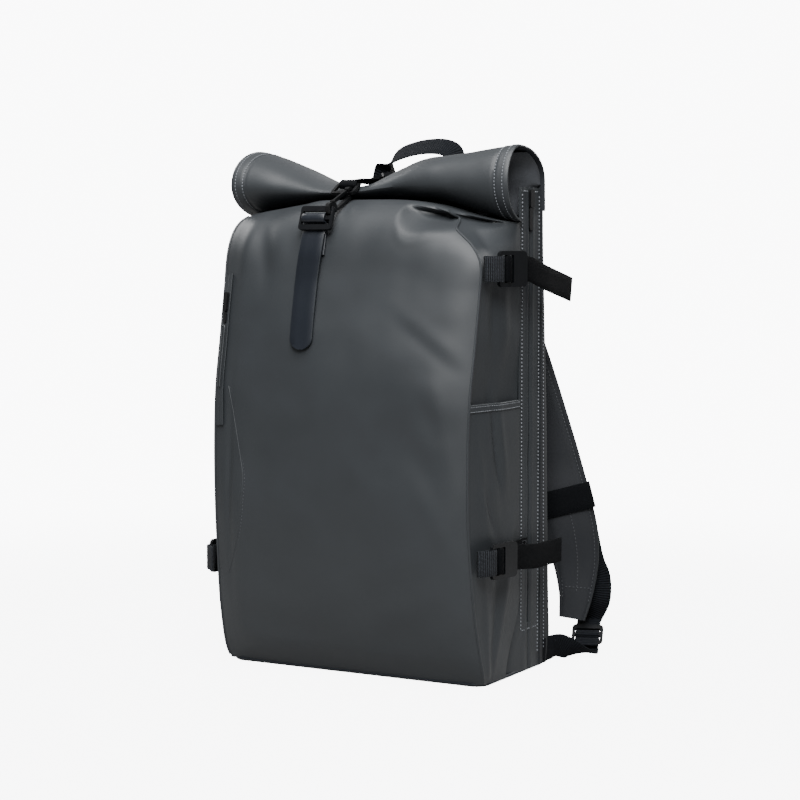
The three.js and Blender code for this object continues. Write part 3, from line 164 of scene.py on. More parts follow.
# Sections of the roll, by share of half its width
ROLL = columns(
    ("at", "top", "nose", "reach", "drop"),
    [
        (-1.00, 1.000, 0.283, 1.000, 0.750),
        (-0.88, 0.925, 0.264, 0.970, 0.580),
        (-0.68, 0.700, 0.226, 0.920, 0.375),
        (-0.46, 0.415, 0.150, 0.830, 0.167),
        (-0.33, 0.290, 0.130, 0.780, 0.020),
        (-0.18, 0.255, 0.120, 0.750, 0.000),
        (-0.03, 0.320, 0.150, 0.750, 0.000),
        (0.10, 0.490, 0.190, 0.750, 0.000),
        (0.32, 0.755, 0.245, 0.730, 0.040),
        (0.53, 0.840, 0.283, 0.700, 0.250),
        (0.70, 0.896, 0.300, 0.670, 0.580),
        (0.85, 0.953, 0.300, 0.630, 0.830),
        (1.00, 1.000, 0.300, 0.590, 1.000),
    ],
)

BACK = columns(
    ("up", "back"),
    [
        (0.000, 0.935), (0.020, 1.000), (0.050, 1.035), (0.130, 1.005), (0.360, 0.935),
        (0.580, 0.877), (0.780, 0.790), (0.920, 0.705), (1.000, 0.680),
    ],
)

# Soft creases of the front: place, direction in degrees from upright, half length, half width
# and how far they rise, millimetres
CREASES = columns(
    ("x", "z", "turn", "long", "wide", "rise"),
    [
        (-116, 428, 4, 38, 10, 3.2),
        (-92, 426, -8, 34, 10, -3.0),
        (-72, 438, -14, 30, 11, 1.2),
        (8, 446, 20, 26, 14, 1.2),
        (30, 436, 28, 34, 15, -1.4),
        (104, 346, -54, 44, 10, 0.9),
        (106, 333, -54, 46, 8, -1.1),
        (92, 306, -44, 46, 14, 0.6),
        (112, 262, -34, 42, 12, -1.1),
        (126, 244, -14, 50, 9, 1.2),
        (108, 206, -24, 36, 12, -1.3),
        (122, 156, -30, 40, 11, 0.9),
        (-124, 190, 2, 84, 4, -2.4),
        (-112, 150, 6, 90, 10, 1.4),
        (60, 70, 66, 70, 16, 1.4),
        (-60, 46, 96, 80, 14, -1.2),
    ],
)

# The curved pocket seam on the front's left: place across and share of the height
POCKET_SEAM = [(-0.855, 0.62), (-0.792, 0.537), (-0.745, 0.47), (-0.717, 0.421), (-0.733, 0.354),
               (-0.767, 0.300), (-0.825, 0.25), (-0.892, 0.204)]

# Creases of the side pocket and side panel: share of the way back, height, and as above
SIDE_CREASES = columns(
    ("at", "z", "turn", "long", "wide", "rise"),
    [
        (0.46, 236, -12, 40, 4, -3.4),
        (0.58, 236, -12, 46, 6, 2.0),
        (0.24, 196, -10, 44, 6, 2.4),
        (0.34, 178, -26, 34, 5, -2.6),
        (0.66, 96, 16, 54, 7, 2.2),
        (0.42, 66, 8, 52, 6, -2.6),
        (0.22, 56, 2, 46, 6, 2.0),
        (0.36, 362, -4, 46, 9, -2.6),
        (0.62, 352, 4, 50, 10, 1.6),
        (0.30, 440, 30, 20, 7, -1.4),
    ],
)


def roll_at(column, x):
    return read(ROLL, "at", column, 2 * x / ROLL_WIDTH)


def roll_height(column, x):
    """Height of the roll's top or nose."""
    return BODY_HEIGHT + ROLL_RISE * roll_at(column, x)


def roll_under(x):
    return BODY_HEIGHT - ROLL_DROP * roll_at("drop", x)


def roll_reach(x):
    return -ROLL_REACH * roll_at("reach", x)


def top_line(x):
    return roll_under(x) - ROLL_SEAT


def height_at(x, up):
    return WALL_FOOT + (top_line(x) - WALL_FOOT) * up


def up_at(x, z):
    """Share of the height under the roll."""
    return (z - WALL_FOOT) / (top_line(x) - WALL_FOOT)


def section_at(column, up):
    return read(SECTIONS, "up", column, up)


def half_at(side, up):
    """Half the body's width on one side."""
    return HALF_W * section_at("left" if side < 0 else "right", up)


def crease_height(table, key, along, z, reach):
    total = 0.0
    for row in table:
        turn = math.radians(row["turn"])
        dx, dz = (along - row[key]) * reach, z - row["z"]
        length = dx * math.sin(turn) + dz * math.cos(turn)
        across = dx * math.cos(turn) - dz * math.sin(turn)
        total += row["rise"] * math.exp(-(length / row["long"]) ** 2 - (across / row["wide"]) ** 2)
    return total


def slack(point, size, depth):
    """Uneven swell of soft cloth."""
    return depth * noise.noise(Vector(point) / size)


# The hollow that the cloth folds into under the roll, by place across: its lower rim as a share of
# the height, and its depth
FOLD = columns(
    ("x", "rim", "deep"),
    [
        (54, 0.954, 0), (60, 0.942, 8), (68, 0.932, 15), (80, 0.934, 21), (90, 0.943, 23),
        (100, 0.952, 21), (110, 0.962, 18), (121, 0.970, 14), (132, 0.977, 8), (143, 0.984, 0),
    ],
)
FOLD_LIP = 1.0


def fold_depth(x, up):
    if not FOLD[0]["x"] < x < FOLD[-1]["x"]:
        return 0
    rim = read(FOLD, "x", "rim", x)
    deep = max(0, read(FOLD, "x", "deep", x))
    u = (up - rim) / max(0.009, FOLD_LIP - rim)
    bowl = smooth(u / 0.66) * (1 - smooth((u - 0.68) / 0.26))
    lip = 0.6 * ridge(u, -0.18, 0.18) * min(1, deep / 10)
    return deep * bowl - lip


def front_point(s, up, inset=0.0, creased=True):
    """Skin of the front panel; s runs from the left seam, -1, to the right seam, 1."""
    half = half_at(s, up)
    x = half * s
    z = height_at(x, up)
    edge = BODY_DEPTH * section_at("edge", up) * (1 - abs(s) ** PANEL_CORNER)
    belly = BODY_DEPTH * section_at("belly", up) * (1 - s * s)
    turn = abs(s) ** 6
    y = -HALF_D * section_at("fore", up) - edge - belly + fold_depth(x, up)
    if creased:
        free = (1 - abs(s) ** 12) * smooth(up / 0.03)
        swell = crease_height(CREASES, "x", x, z, 1) + slack((x, 7, z), 70, 2.2) + slack((x, 3, z), 28, 0.6)
        y -= swell * free
    return Vector((x - math.copysign(inset * turn * 0.8, s), y + inset * (1 - 0.3 * turn), z))


def front_y(x, z):
    up = clamp01(up_at(x, z))
    return front_point(x / half_at(x, up), up, 0, False).y


def strip_line(z):
    return STRIP_FRONT - STRIP_TUCK * (1 - smooth(z / TUCK_HEIGHT))


def side_point(side, t, up, depth, creased=True):
    half = half_at(side, up)
    fore = -HALF_D * section_at("fore", up) + SEAM_GAP + depth * 1.1
    swell = BODY_DEPTH * section_at("side", up) * hill(t)
    along = lerp(half, HALF_W, smooth(t * 1.15))
    sunk = fold_depth(along, up) if side > 0 else 0
    z = height_at(side * along, up)
    if creased:
        free = hill(t) ** 0.5 * smooth(up / 0.03) * (1 - smooth((up - 0.97) / 0.03))
        swell += free * crease_height(SIDE_CREASES, "at", t, z, 104)
        swell += free * slack((t * 100, side * 50, z), 40, 1.2)
    return Vector((side * (along + swell - depth), lerp(fore, strip_line(z) - SEAM_GAP / 2, t) + sunk, z))


def pocket_inset(side, t, up):
    brim = up_at(side * HALF_W, POCKET_HEIGHT)
    fade = 1 - smooth((up - brim - 0.01) / 0.16)
    loose = POCKET_SLACK * hill(t) ** 0.7 * smooth(up / brim)
    return (WALL + SEAM_GAP + loose) * fade


def roll_section(x, inset, fine=9):
    top, nose = roll_height("top", x) - inset, roll_height("nose", x)
    reach, under = roll_reach(x) + inset, roll_under(x) + inset
    back = ROLL_BACK - inset
    shoulder = lerp(BACK_TOP + 6, top, 0.42)
    points = [Vector((x, back, lerp(BACK_TOP + SEAM_GAP, shoulder, t))) for t in shares(4)[:-1]]

    def arc(y0, z0, y1, z1, bend):
        for t in shares(fine):
            a = t * math.pi / 2
            if bend:
                points.append(Vector((x, lerp(y0, y1, math.sin(a)), lerp(z0, z1, 1 - math.cos(a)))))
            else:
                points.append(Vector((x, lerp(y0, y1, 1 - math.cos(a)), lerp(z0, z1, math.sin(a)))))

    arc(back, shoulder, -ROLL_RIDGE, top, False)
    points.pop()
    arc(-ROLL_RIDGE, top, reach, nose, True)
    points.pop()
    arc(reach, nose, ROLL_TAIL, under, False)
    return points


def roll_top(x, y):
    top = roll_height("top", x)
    if y > -ROLL_RIDGE:
        shoulder = lerp(BACK_TOP + 6, top, 0.42)
        cos = 1 - (y - ROLL_BACK) / (-ROLL_RIDGE - ROLL_BACK)
        return lerp(shoulder, top, math.sqrt(max(0, 1 - cos * cos)))
    sin = clamp01((y + ROLL_RIDGE) / (roll_reach(x) + ROLL_RIDGE))
    return lerp(top, roll_height("nose", x), 1 - math.sqrt(1 - sin * sin))


# Finishes

def effect(name, numbers, outputs):
    """A shader node group with number inputs, and its input and output nodes."""
    group = bpy.data.node_groups.new(name, "ShaderNodeTree")
    for label, value in numbers:
        socket = group.interface.new_socket(label, in_out="INPUT", socket_type="NodeSocketFloat")
        socket.default_value = value
    for label in outputs:
        group.interface.new_socket(label, in_out="OUTPUT", socket_type="NodeSocketFloat")
    return group, group.nodes.new("NodeGroupInput"), group.nodes.new("NodeGroupOutput")


def node(tree, kind, values=(), links=(), **settings):
    """A node with some socket values set and some sockets linked."""
    made = tree.nodes.new(kind)
    for key, value in settings.items():
        setattr(made, key, value)
    for socket, value in values:
        made.inputs[socket].default_value = value
    for socket, source in links:
        tree.links.new(source, made.inputs[socket])
    return made


def maths(tree, operation, *terms):
    """One sum; each term is a number or a socket."""
    made = tree.nodes.new("ShaderNodeMath")
    made.operation = operation
    for place, term in enumerate(terms):
        if isinstance(term, bpy.types.NodeSocket):
            tree.links.new(term, made.inputs[place])
        else:
            made.inputs[place].default_value = term
    return made.outputs[0]


def coating_grain():
    """Fine pebbled coating with faint clouding."""
    group, into, out = effect("coating_grain", [("Grain size", 0.6), ("Cloud size", 60)], ["Height", "Tone"])
    place = node(group, "ShaderNodeTexCoord").outputs["Object"]
    fine_scale = maths(group, "DIVIDE", 1 / MM, into.outputs["Grain size"])
    cloud_scale = maths(group, "DIVIDE", 1 / MM, into.outputs["Cloud size"])
    fine = node(group, "ShaderNodeTexNoise", [("Detail", 3), ("Roughness", 0.6)],
                [("Vector", place), ("Scale", fine_scale)])
    pebble = node(group, "ShaderNodeTexVoronoi", [("Randomness", 1)],
                  [("Vector", place), ("Scale", fine_scale)], feature="SMOOTH_F1")
    cloud = node(group, "ShaderNodeTexNoise", [("Detail", 4), ("Roughness", 0.55)],
                 [("Vector", place), ("Scale", cloud_scale)])
    height = maths(group, "ADD", fine.outputs["Fac"], pebble.outputs["Distance"])
    group.links.new(height, out.inputs["Height"])
    group.links.new(cloud.outputs["Fac"], out.inputs["Tone"])
    return group


def ribbed_weave():
    """Ribs across a strap, broken into threads along it. Its Tone follows the rib height: painted shade in
    the grooves and painted light on the rib tops, broken by random fuzz.
    """
    group, into, out = effect("ribbed_weave", [("Rib", 2.3), ("Thread", 0.9)], ["Height", "Tone"])
    run = node(group, "ShaderNodeUVMap", uv_map="run").outputs["UV"]
    split = node(group, "ShaderNodeSeparateXYZ", [], [(0, run)])
    waves = []
    for axis, label in enumerate(("Rib", "Thread")):
        turns = maths(group, "DIVIDE", math.pi / MM, into.outputs[label])
        angle = maths(group, "MULTIPLY", split.outputs[axis], turns)
        waves.append(maths(group, "ABSOLUTE", maths(group, "SINE", angle)))
    height = maths(group, "ADD", waves[0], maths(group, "MULTIPLY", waves[1], 0.35))
    fuzz = node(group, "ShaderNodeTexNoise", [("Scale", 700), ("Detail", 2)], [("Vector", run)])
    group.links.new(height, out.inputs["Height"])
    # Tone is the rib height times random fuzz: painted shade in the grooves, painted light on the rib tops
    group.links.new(maths(group, "MULTIPLY", height, fuzz.outputs["Fac"]), out.inputs["Tone"])
    return group


def dust():
    """Sparse pale specks, more of them on what faces up."""
    group, into, out = effect("dust", [("Amount", 0.05)], ["Mask"])
    place = node(group, "ShaderNodeTexCoord").outputs["Object"]
    specks = node(group, "ShaderNodeTexNoise", [("Scale", 420), ("Detail", 2)], [("Vector", place)])
    thin = node(group, "ShaderNodeMapRange", [("From Min", 0.66), ("From Max", 0.8)],
                [("Value", specks.outputs["Fac"])])
    normal = node(group, "ShaderNodeNewGeometry").outputs["Normal"]
    upward = node(group, "ShaderNodeMapRange", [("From Min", -0.2), ("From Max", 1), ("To Min", 0.3)],
                  [("Value", node(group, "ShaderNodeSeparateXYZ", [], [(0, normal)]).outputs[2])])
    both = maths(group, "MULTIPLY", thin.outputs[0], upward.outputs[0])
    group.links.new(maths(group, "MULTIPLY", both, into.outputs["Amount"]), out.inputs["Mask"])
    return group


GRAIN, WEAVE, DUST = coating_grain(), ribbed_weave(), dust()
DUST_TINT = (0.12, 0.125, 0.125, 1)
BACKDROP_LEVEL, FILL_LEVEL, FLOOR_REACH = 10.0, 0.30, 3


def finish_of(name, dark, light, rough, texture, sizes, bump, specular=0.4, sheen=0.0, metal=0.0):
    """A material: a texture group drives its tone, roughness and bump, with dust over it."""
    material = bpy.data.materials.new(name)
    material.use_nodes = True
    tree = material.node_tree
    shader = tree.nodes["Principled BSDF"]
    for label, value in (("Specular IOR Level", specular), ("Sheen Weight", sheen), ("Sheen Roughness", 0.6),
                         ("Metallic", metal)):
        shader.inputs[label].default_value = value
    surface = node(tree, "ShaderNodeGroup", node_tree=texture)
    for place, value in enumerate(sizes):
        surface.inputs[place].default_value = value
    specks = node(tree, "ShaderNodeGroup", node_tree=DUST)
    # For the webbings this mix paints shade into the rib grooves and light onto the rib tops
    tone = node(tree, "ShaderNodeMix", [(6, dark), (7, light)], [(0, surface.outputs["Tone"])],
                data_type="RGBA")
    dusted = node(tree, "ShaderNodeMix", [(7, DUST_TINT)],
                  [(0, specks.outputs["Mask"]), (6, tone.outputs[2])], data_type="RGBA")
    shine = node(tree, "ShaderNodeMapRange", [("To Min", rough - 0.06), ("To Max", rough + 0.08)],
                 [("Value", surface.outputs["Tone"])])
    relief = node(tree, "ShaderNodeBump", [("Strength", 1), ("Distance", bump * MM)],
                  [("Height", surface.outputs["Height"])])
    tree.links.new(dusted.outputs[2], shader.inputs["Base Color"])
    tree.links.new(shine.outputs[0], shader.inputs["Roughness"])
    tree.links.new(relief.outputs[0], shader.inputs["Normal"])
    return material


def grey(value, blue=0.0):
    return (value * (1 - blue * 0.5), value, value * (1 + blue), 1)


# Each texture's sizes are in millimetres: grain and clouds of a coating, ribs and threads of a weave
COATED = finish_of("coated_cloth", (0.0135, 0.0153, 0.0172, 1), (0.0180, 0.0204, 0.0230, 1), 0.5, GRAIN,
                   (0.55, 70), 0.035, 0.28)
LINED = finish_of("cloth_inside", grey(0.012, 0.2), grey(0.016, 0.2), 0.7, GRAIN, (0.4, 30), 0.06, 0.15)
PADDED = finish_of("padded_cloth", grey(0.0065, 0.24), grey(0.0092, 0.24), 0.66, GRAIN, (0.5, 40), 0.07,
                   0.2, 0.02)
STRAP_COAT = finish_of("strap_coating", (0.0046, 0.0060, 0.0090, 1), (0.0062, 0.0078, 0.0112, 1), 0.42,
                       GRAIN, (0.4, 50), 0.02, 0.25)
GUSSET = finish_of("gusset_cloth", grey(0.028, 0.12), grey(0.042, 0.12), 0.6, GRAIN, (0.7, 14), 0.08, 0.2)
# In the webbings the dark colour is painted shade in the rib grooves and the light colour painted light on
# the rib tops
RIBBED = finish_of("ribbed_webbing", grey(0.0004, 0.3), grey(0.030, 0.2), 0.7, WEAVE, (2.6, 1.3), 1.1, 0.1)
STRAP_WEB = finish_of("strap_webbing", grey(0.0006, 0.4), grey(0.0095, 0.3), 0.74, WEAVE, (2.4, 1.2), 0.7,
                      0.06)
WEBBING = finish_of("plain_webbing", grey(0.0005, 0.4), grey(0.0020, 0.4), 0.76, WEAVE, (1.6, 0.9), 0.3,
                    0.05)
FINE_WEB = finish_of("fine_webbing", grey(0.0008, 0.4), grey(0.0024, 0.4), 0.74, WEAVE, (1.1, 0.7), 0.2,
                     0.06)
MOULDED = finish_of("moulded_plastic", grey(0.0018, 0.3), grey(0.0026, 0.3), 0.34, GRAIN, (0.3, 9), 0.02,
                    0.22)
METAL = finish_of("black_metal", grey(0.0030, 0.1), grey(0.0050, 0.1), 0.3, GRAIN, (0.25, 6), 0.012, 0.3,
                  0, 0.3)
THREAD = finish_of("stitch_thread", grey(0.095, 0.1), grey(0.14, 0.1), 0.6, GRAIN, (0.3, 8), 0.05, 0.2)
DARK_THREAD = finish_of("dark_thread", grey(0.030, 0.1), grey(0.045, 0.1), 0.6, GRAIN, (0.3, 8), 0.05, 0.2)


# Making pieces

def placed(name, data):
    made = bpy.data.objects.new(name, data)
    bpy.context.scene.collection.objects.link(made)
    return made


def piece(name, points, faces, finish, stands_for=(), runs=None, sharp=42, inside=None):
    """One closed mesh from points in millimetres. runs gives each point's place on a strap."""
    volume = sum(points[f[0]].dot(points[f[i]].cross(points[f[i + 1]]))
                 for f in faces for i in range(1, len(f) - 1))
    if volume < 0:
        faces = [tuple(reversed(f)) for f in faces]
    mesh = bpy.data.meshes.new(name)
    mesh.from_pydata([p * MM for p in points], [], faces)
    mesh.shade_smooth()
    mesh.set_sharp_from_angle(angle=math.radians(sharp))
    mesh.materials.append(finish)
    if inside:
        mesh.materials.append(inside[0])
        for face in mesh.polygons:
            face.material_index = int(all(v >= inside[1] for v in face.vertices))
    if runs:
        layer = mesh.uv_layers.new(name="run")
        for loop in mesh.loops:
            layer.data[loop.index].uv = runs[loop.vertex_index]
    made = placed(name, mesh)
    if stands_for:
        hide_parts(*stands_for)
    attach(made, "bag")
    return made


def shell(name, outer, inner, finish, slot, stands_for=(), lining=None):
    """A cloth panel from two matching grids, its outer and inner skin."""
    rows, cols = len(outer), len(outer[0])
    points = [p for row in outer for p in row] + [p for row in inner for p in row]
    skin = rows * cols

    def at(r, c):
        return r * cols + c

    faces = []
    for r in range(rows - 1):
        for c in range(cols - 1):
            a, b, d, e = at(r, c), at(r, c + 1), at(r + 1, c + 1), at(r + 1, c)
            faces.append((a, b, d, e))
            faces.append((skin + a, skin + e, skin + d, skin + b))
    rim = [at(0, c) for c in range(cols)] + [at(r, cols - 1) for r in range(1, rows)]
    rim += [at(rows - 1, c) for c in range(cols - 2, -1, -1)] + [at(r, 0) for r in range(rows - 2, 0, -1)]
    for a, b in zip(rim, rim[1:] + rim[:1]):
        faces.append((b, a, skin + a, skin + b))
    made = piece(name, points, faces, finish, stands_for, inside=(lining, skin) if lining else None)
    return made


def panel(stands_for, outer, inner):
    """A coated panel, lined, that stands for one node."""
    shell(f"{stands_for}_cloth", outer, inner, COATED, "coated_fabric", [stands_for], LINED)


def along_path(points, i):
    return (points[min(len(points) - 1, i + 1)] - points[max(0, i - 1)]).normalized()


def rounded_path(points, widths, fine):
    """Both lists made finer, along a smooth curve through their points."""
    path, wides = [], []
    for i in range(len(points) - 1):
        a, b = points[i], points[i + 1]
        before = points[i - 1] if i else a * 2 - b
        after = points[i + 2] if i + 2 < len(points) else b * 2 - a
        near, mid, far = ((q - p).length ** 0.5 + 1e-6 for p, q in ((before, a), (a, b), (b, after)))
        lead = ((a - before) / near - (b - before) / (near + mid) + (b - a) / mid) * mid
        trail = ((b - a) / mid - (after - a) / (mid + far) + (after - b) / far) * mid
        count = max(2, int((b - a).length / fine) + 1)
        for t in shares(count)[:-1]:
            u, w = t * t, t * t * t
            path.append(a * (2 * w - 3 * u + 1) + lead * (w - 2 * u + t)
                        + b * (3 * u - 2 * w) + trail * (w - u))
            wides.append(widths[i].lerp(widths[i + 1], t))
    return path + [points[-1]], wides + [widths[-1]]


def finer(points, fine):
    """A path's points again, closer together on a smooth curve."""
    return rounded_path(points, points, fine)[0]


def evened(points, count):
    """A path's points again, count of them at even steps on a smooth curve."""
    path = finer(points, 2)
    return [path[round(t * (len(path) - 1))] for t in shares(count)]


def tube_faces(rings, around):
    """Faces that join rings of points into a closed tube."""
    faces = []
    for first in range(0, (rings - 1) * around, around):
        for k in range(around):
            a, b = first + k, first + (k + 1) % around
            faces.append((a, b, b + around, a + around))
    last = (rings - 1) * around
    return faces + [tuple(range(around - 1, -1, -1)), tuple(range(last, last + around))]


def rounded_box(half_x, half_y, corner, steps):
    """A box's outline with rounded corners."""
    outline = []
    for sx, sy, turn in ((1, 1, 0), (-1, 1, 1), (-1, -1, 2), (1, -1, 3)):
        for t in shares(steps):
            a = (turn + t) * math.pi / 2
            outline.append((sx * (half_x - corner) + corner * math.cos(a),
                            sy * (half_y - corner) + corner * math.sin(a)))
    return outline


def strap(name, points, widths, width, thick, finish, stands_for=(), fine=2.5, bow=0.0):
    """A flat strap along a path, its long edges rounded. widths is one direction or one for each point,
    and width may follow the share of the run."""
    if isinstance(widths, Vector):
        widths = [widths] * len(points)
    path, wides = rounded_path(points, widths, fine)
    wide_of = width if callable(width) else (lambda t: width)
    profile = [(-0.5, 0.28), (-0.47, 0.5), (-0.2, 0.5), (0.2, 0.5), (0.47, 0.5), (0.5, 0.28)]
    profile += [(x, -y) for x, y in reversed(profile)]
    verts, runs, run = [], [], 0.0
    for i, p in enumerate(path):
        if i:
            run += (p - path[i - 1]).length
        along = along_path(path, i)
        wide = (wides[i] - along * wides[i].dot(along)).normalized()
        out = wide.cross(along)
        size = wide_of(i / (len(path) - 1))
        for x, y in profile:
            verts.append(p + wide * (x * size) + out * (y * thick + bow * (0.25 - x * x)))
            runs.append((run * MM, x * size * MM))
    return piece(name, verts, tube_faces(len(path), len(profile)), finish, stands_for, runs)


def webbing(name, path, widths, finish, fine, width=WEB):
    """A webbing that stands for the node of its name."""
    strap(f"{name}_web", path, widths, width, WEB_THICK, finish, [name], fine)


def cord_along(name, path, radius, finish, stands_for=(), sides=8):
    """A round cord or welt along a path."""
    verts, runs, run = [], [], 0.0
    lift = Vector((0.3, 0.2, 1))
    for i, p in enumerate(path):
        if i:
            run += (p - path[i - 1]).length
        along = along_path(path, i)
        a = along.cross(lift).normalized()
        lift = a.cross(along).normalized()
        for k in range(sides):
            turn = 2 * math.pi * k / sides
            verts.append(p + (a * math.cos(turn) + lift * math.sin(turn)) * radius)
            runs.append((run * MM, k / sides * radius * MM))
    return piece(name, verts, tube_faces(len(path), sides), finish, stands_for, runs)


# Pitch, length and radius of the stitches that show from afar
BOLD_STITCH = 3.8, 2.3, 0.62


def stitches(name, rows, pitch=3.8, length=2.5, radius=0.42, finish=None):
    """Rows of separate stitches. Each row is a list of points with their outward directions."""
    verts, faces = [], []
    for row in rows:
        spare = pitch * 0.5
        for (a, out_a), (b, out_b) in zip(row, row[1:]):
            step = (b - a).length
            while spare < step:
                t = spare / step
                p, out = a.lerp(b, t), out_a.lerp(out_b, t).normalized()
                along = (b - a).normalized()
                side = along.cross(out)
                first = len(verts)
                verts.append(p - along * length / 2 - out * radius * 0.6)
                for share in (-0.3, 0.3):
                    for x, y in ((1, -0.4), (0.75, 0.75), (-0.75, 0.75), (-1, -0.4)):
                        verts.append(p + along * length * share + side * (x * radius) + out * (y * radius))
                verts.append(p + along * length / 2 - out * radius * 0.6)
                for k in range(4):
                    n = (k + 1) % 4
                    faces.append((first, first + 1 + n, first + 1 + k))
                    faces.append((first + 1 + k, first + 1 + n, first + 5 + n, first + 5 + k))
                    faces.append((first + 9, first + 5 + k, first + 5 + n))
                spare += pitch
            spare -= step
    return piece(name, verts, faces, finish or THREAD, sharp=80)


def facing(surface, u, v, outward):
    """A surface's point at u, v with its outward direction."""
    d = 0.004
    du = surface(min(1, u + d), v) - surface(u - d, v)
    dv = surface(u, v + d) - surface(u, v - d)
    out = du.cross(dv).normalized()
    if out.dot(outward) < 0:
        out.negate()
    return surface(u, v), out


SIDES = ((1, "right"), (-1, "left"))
RIGHTWARD, BACKWARD, UPRIGHT = Vector((1, 0, 0)), Vector((0, 1, 0)), Vector((0, 0, 1))


# Body

def spread(count, power):
    """Shares from -1 to 1, closer together near both ends."""
    return [math.copysign(abs(s) ** power, s) for s in (2 * i / count - 1 for i in range(count + 1))]


def run_under_roll(outer, inner):
    """Carry a panel's top edge back to the roll's tail."""
    edge = outer[-1]
    for t in (0.04, 0.12, 0.3, 0.6, 1):
        turned = min(1, 4 * t)
        row = [Vector((p.x, lerp(p.y, ROLL_TAIL - 0.4, t), p.z)) for p in edge]
        outer.append(row)
        inner.append([p + Vector((0, WALL * (1 - turned), -WALL * turned)) for p in row])


def front_panel():
    across = spread(96, 0.72)
    ups = [1 - (1 - t) ** 1.25 for t in shares(150)]
    outer = [[front_point(s, up) for s in across] for up in ups]
    inner = [[front_point(s, up, WALL) for s in across] for up in ups]
    run_under_roll(outer, inner)
    panel("front_panel", outer, inner)
    for side, name in SIDES:
        seam = [front_point(side, 1 - (1 - t) ** 1.25, 0, False) + Vector((side * 0.2, 0.2, 0))
                for t in shares(170)[1:-2]]
        cord_along(f"front_seam_{name}", seam, 1.25, COATED)
    path = finer([Vector((s, up, 0)) for s, up in POCKET_SEAM], 0.01)
    out = Vector((-0.35, -0.93, 0))
    seam = [front_point(p.x, p.y) - out * 0.5 for p in path]
    cord_along("front_pocket_seam", seam, 0.9, COATED)
    row = [(p + Vector((2.6, 0, 0)) + out * 0.6, out) for p in seam]
    stitches("front_pocket_stitches", [row], 3.6, 2.4, 0.36, DARK_THREAD)


def side_panels():
    brim_hem = 8
    for side, name in SIDES:
        brim = up_at(side * HALF_W, POCKET_HEIGHT)
        ts = shares(30)
        ups = sorted({1 - (1 - t) ** 1.25 for t in shares(130)} | {brim})
        skins = [[[side_point(side, t, up, pocket_inset(side, t, up) + extra) for t in ts] for up in ups]
                 for extra in (0, WALL)]
        run_under_roll(*skins)
        panel(f"side_panel_{name}", *skins)

        hem = up_at(side * HALF_W, POCKET_HEIGHT - brim_hem)
        low = [hem * t for t in shares(70)]
        rows = [(up, 0) for up in low]
        rows += [(hem + 0.0004, -0.5), (lerp(hem, brim, 0.5), -0.8), (brim - 0.001, -0.6), (brim, 0.1)]
        outer = [[side_point(side, t, up, rise) for t in ts] for up, rise in rows]
        inner = [[side_point(side, t, up, WALL) for t in ts] for up, _ in rows]
        panel(f"side_pocket_{name}", outer, inner)

        def skin(t, up):
            return side_point(side, t, up, -0.7)

        rows = []
        for down in (2.2, brim_hem - 1.2):
            up = up_at(side * HALF_W, POCKET_HEIGHT - down)
            rows.append([facing(skin, t, up, Vector((side, 0, 0))) for t in shares(60)[1:-1]])
        stitches(f"pocket_hem_stitches_{name}", rows, 3.2, 2.1, 0.36)


def strips():
    """The zipped strips at each side of the back compartment."""
    heights = sorted({lerp(WALL_FOOT, STRIP_TOP, t) for t in shares(110)}
                     | {ZIP_FOOT - 0.1, ZIP_FOOT + 0.1})

    def at(side, front, z, t, depth):
        slit = (ZIP_SLIT if z > ZIP_FOOT else SEAM_GAP) / 2
        start = strip_line(z) + SEAM_GAP / 2 if front else ZIP_LINE + slit
        end = ZIP_LINE - slit if front else STRIP_REAR
        sink = TUCK_DEPTH * (1 - smooth(z / TUCK_HEIGHT)) * (1 - t) ** 2 if front else 0
        zip_side = t if front else 1 - t
        roll = 0.9 * smooth((zip_side - 0.9) / 0.1) - 0.8 * ridge(zip_side, 0.8, 0.1)
        wave = slack((t * 12 + side * 9, z, 5 if front else 9), 34, 0.5)
        seam = 0.7 * ridge(zip_side, 0.16 if front else 0.12, 0.06)
        dip = 0 if depth else roll + seam - wave
        return Vector((side * (HALF_W - sink - depth - dip), lerp(start, end, t), z))

    for side, name in SIDES:
        for part, front in (("front", True), ("rear", False)):
            outer, inner = ([[at(side, front, z, t, depth) for t in shares(12)] for z in heights]
                            for depth in (0, WALL))
            panel(f"strip_{part}_{name}", outer, inner)
        out = Vector((side, 0, 0))
        rows = []
        for y, low in ((STRIP_FRONT + 3.6, 44), (STRIP_REAR - 3.4, 16)):
            heights_up = range(low, STRIP_TOP - 3, 4)
            rows.append([(Vector((side * (HALF_W + 0.1), y, z)), out) for z in heights_up])
        for z in (STRIP_TOP - 4, ZIP_FOOT - 6):
            rows.append([(Vector((side * (HALF_W + 0.15), y, z)), out) for y in range(8, 45, 2)])
        stitches(f"strip_stitches_{name}", rows, *BOLD_STITCH)
        x = side * (HALF_W - WALL - SEAM_GAP - ZIP_TAPE_THICK / 2)
        tape = [Vector((x, ZIP_LINE, z)) for z in range(ZIP_FOOT + 2, STRIP_TOP - 1, 8)]
        strap(f"zip_tape_{name}_cloth", tape, BACKWARD, ZIP_TAPE, ZIP_TAPE_THICK, FINE_WEB,
              [f"zip_tape_{name}"], 8)


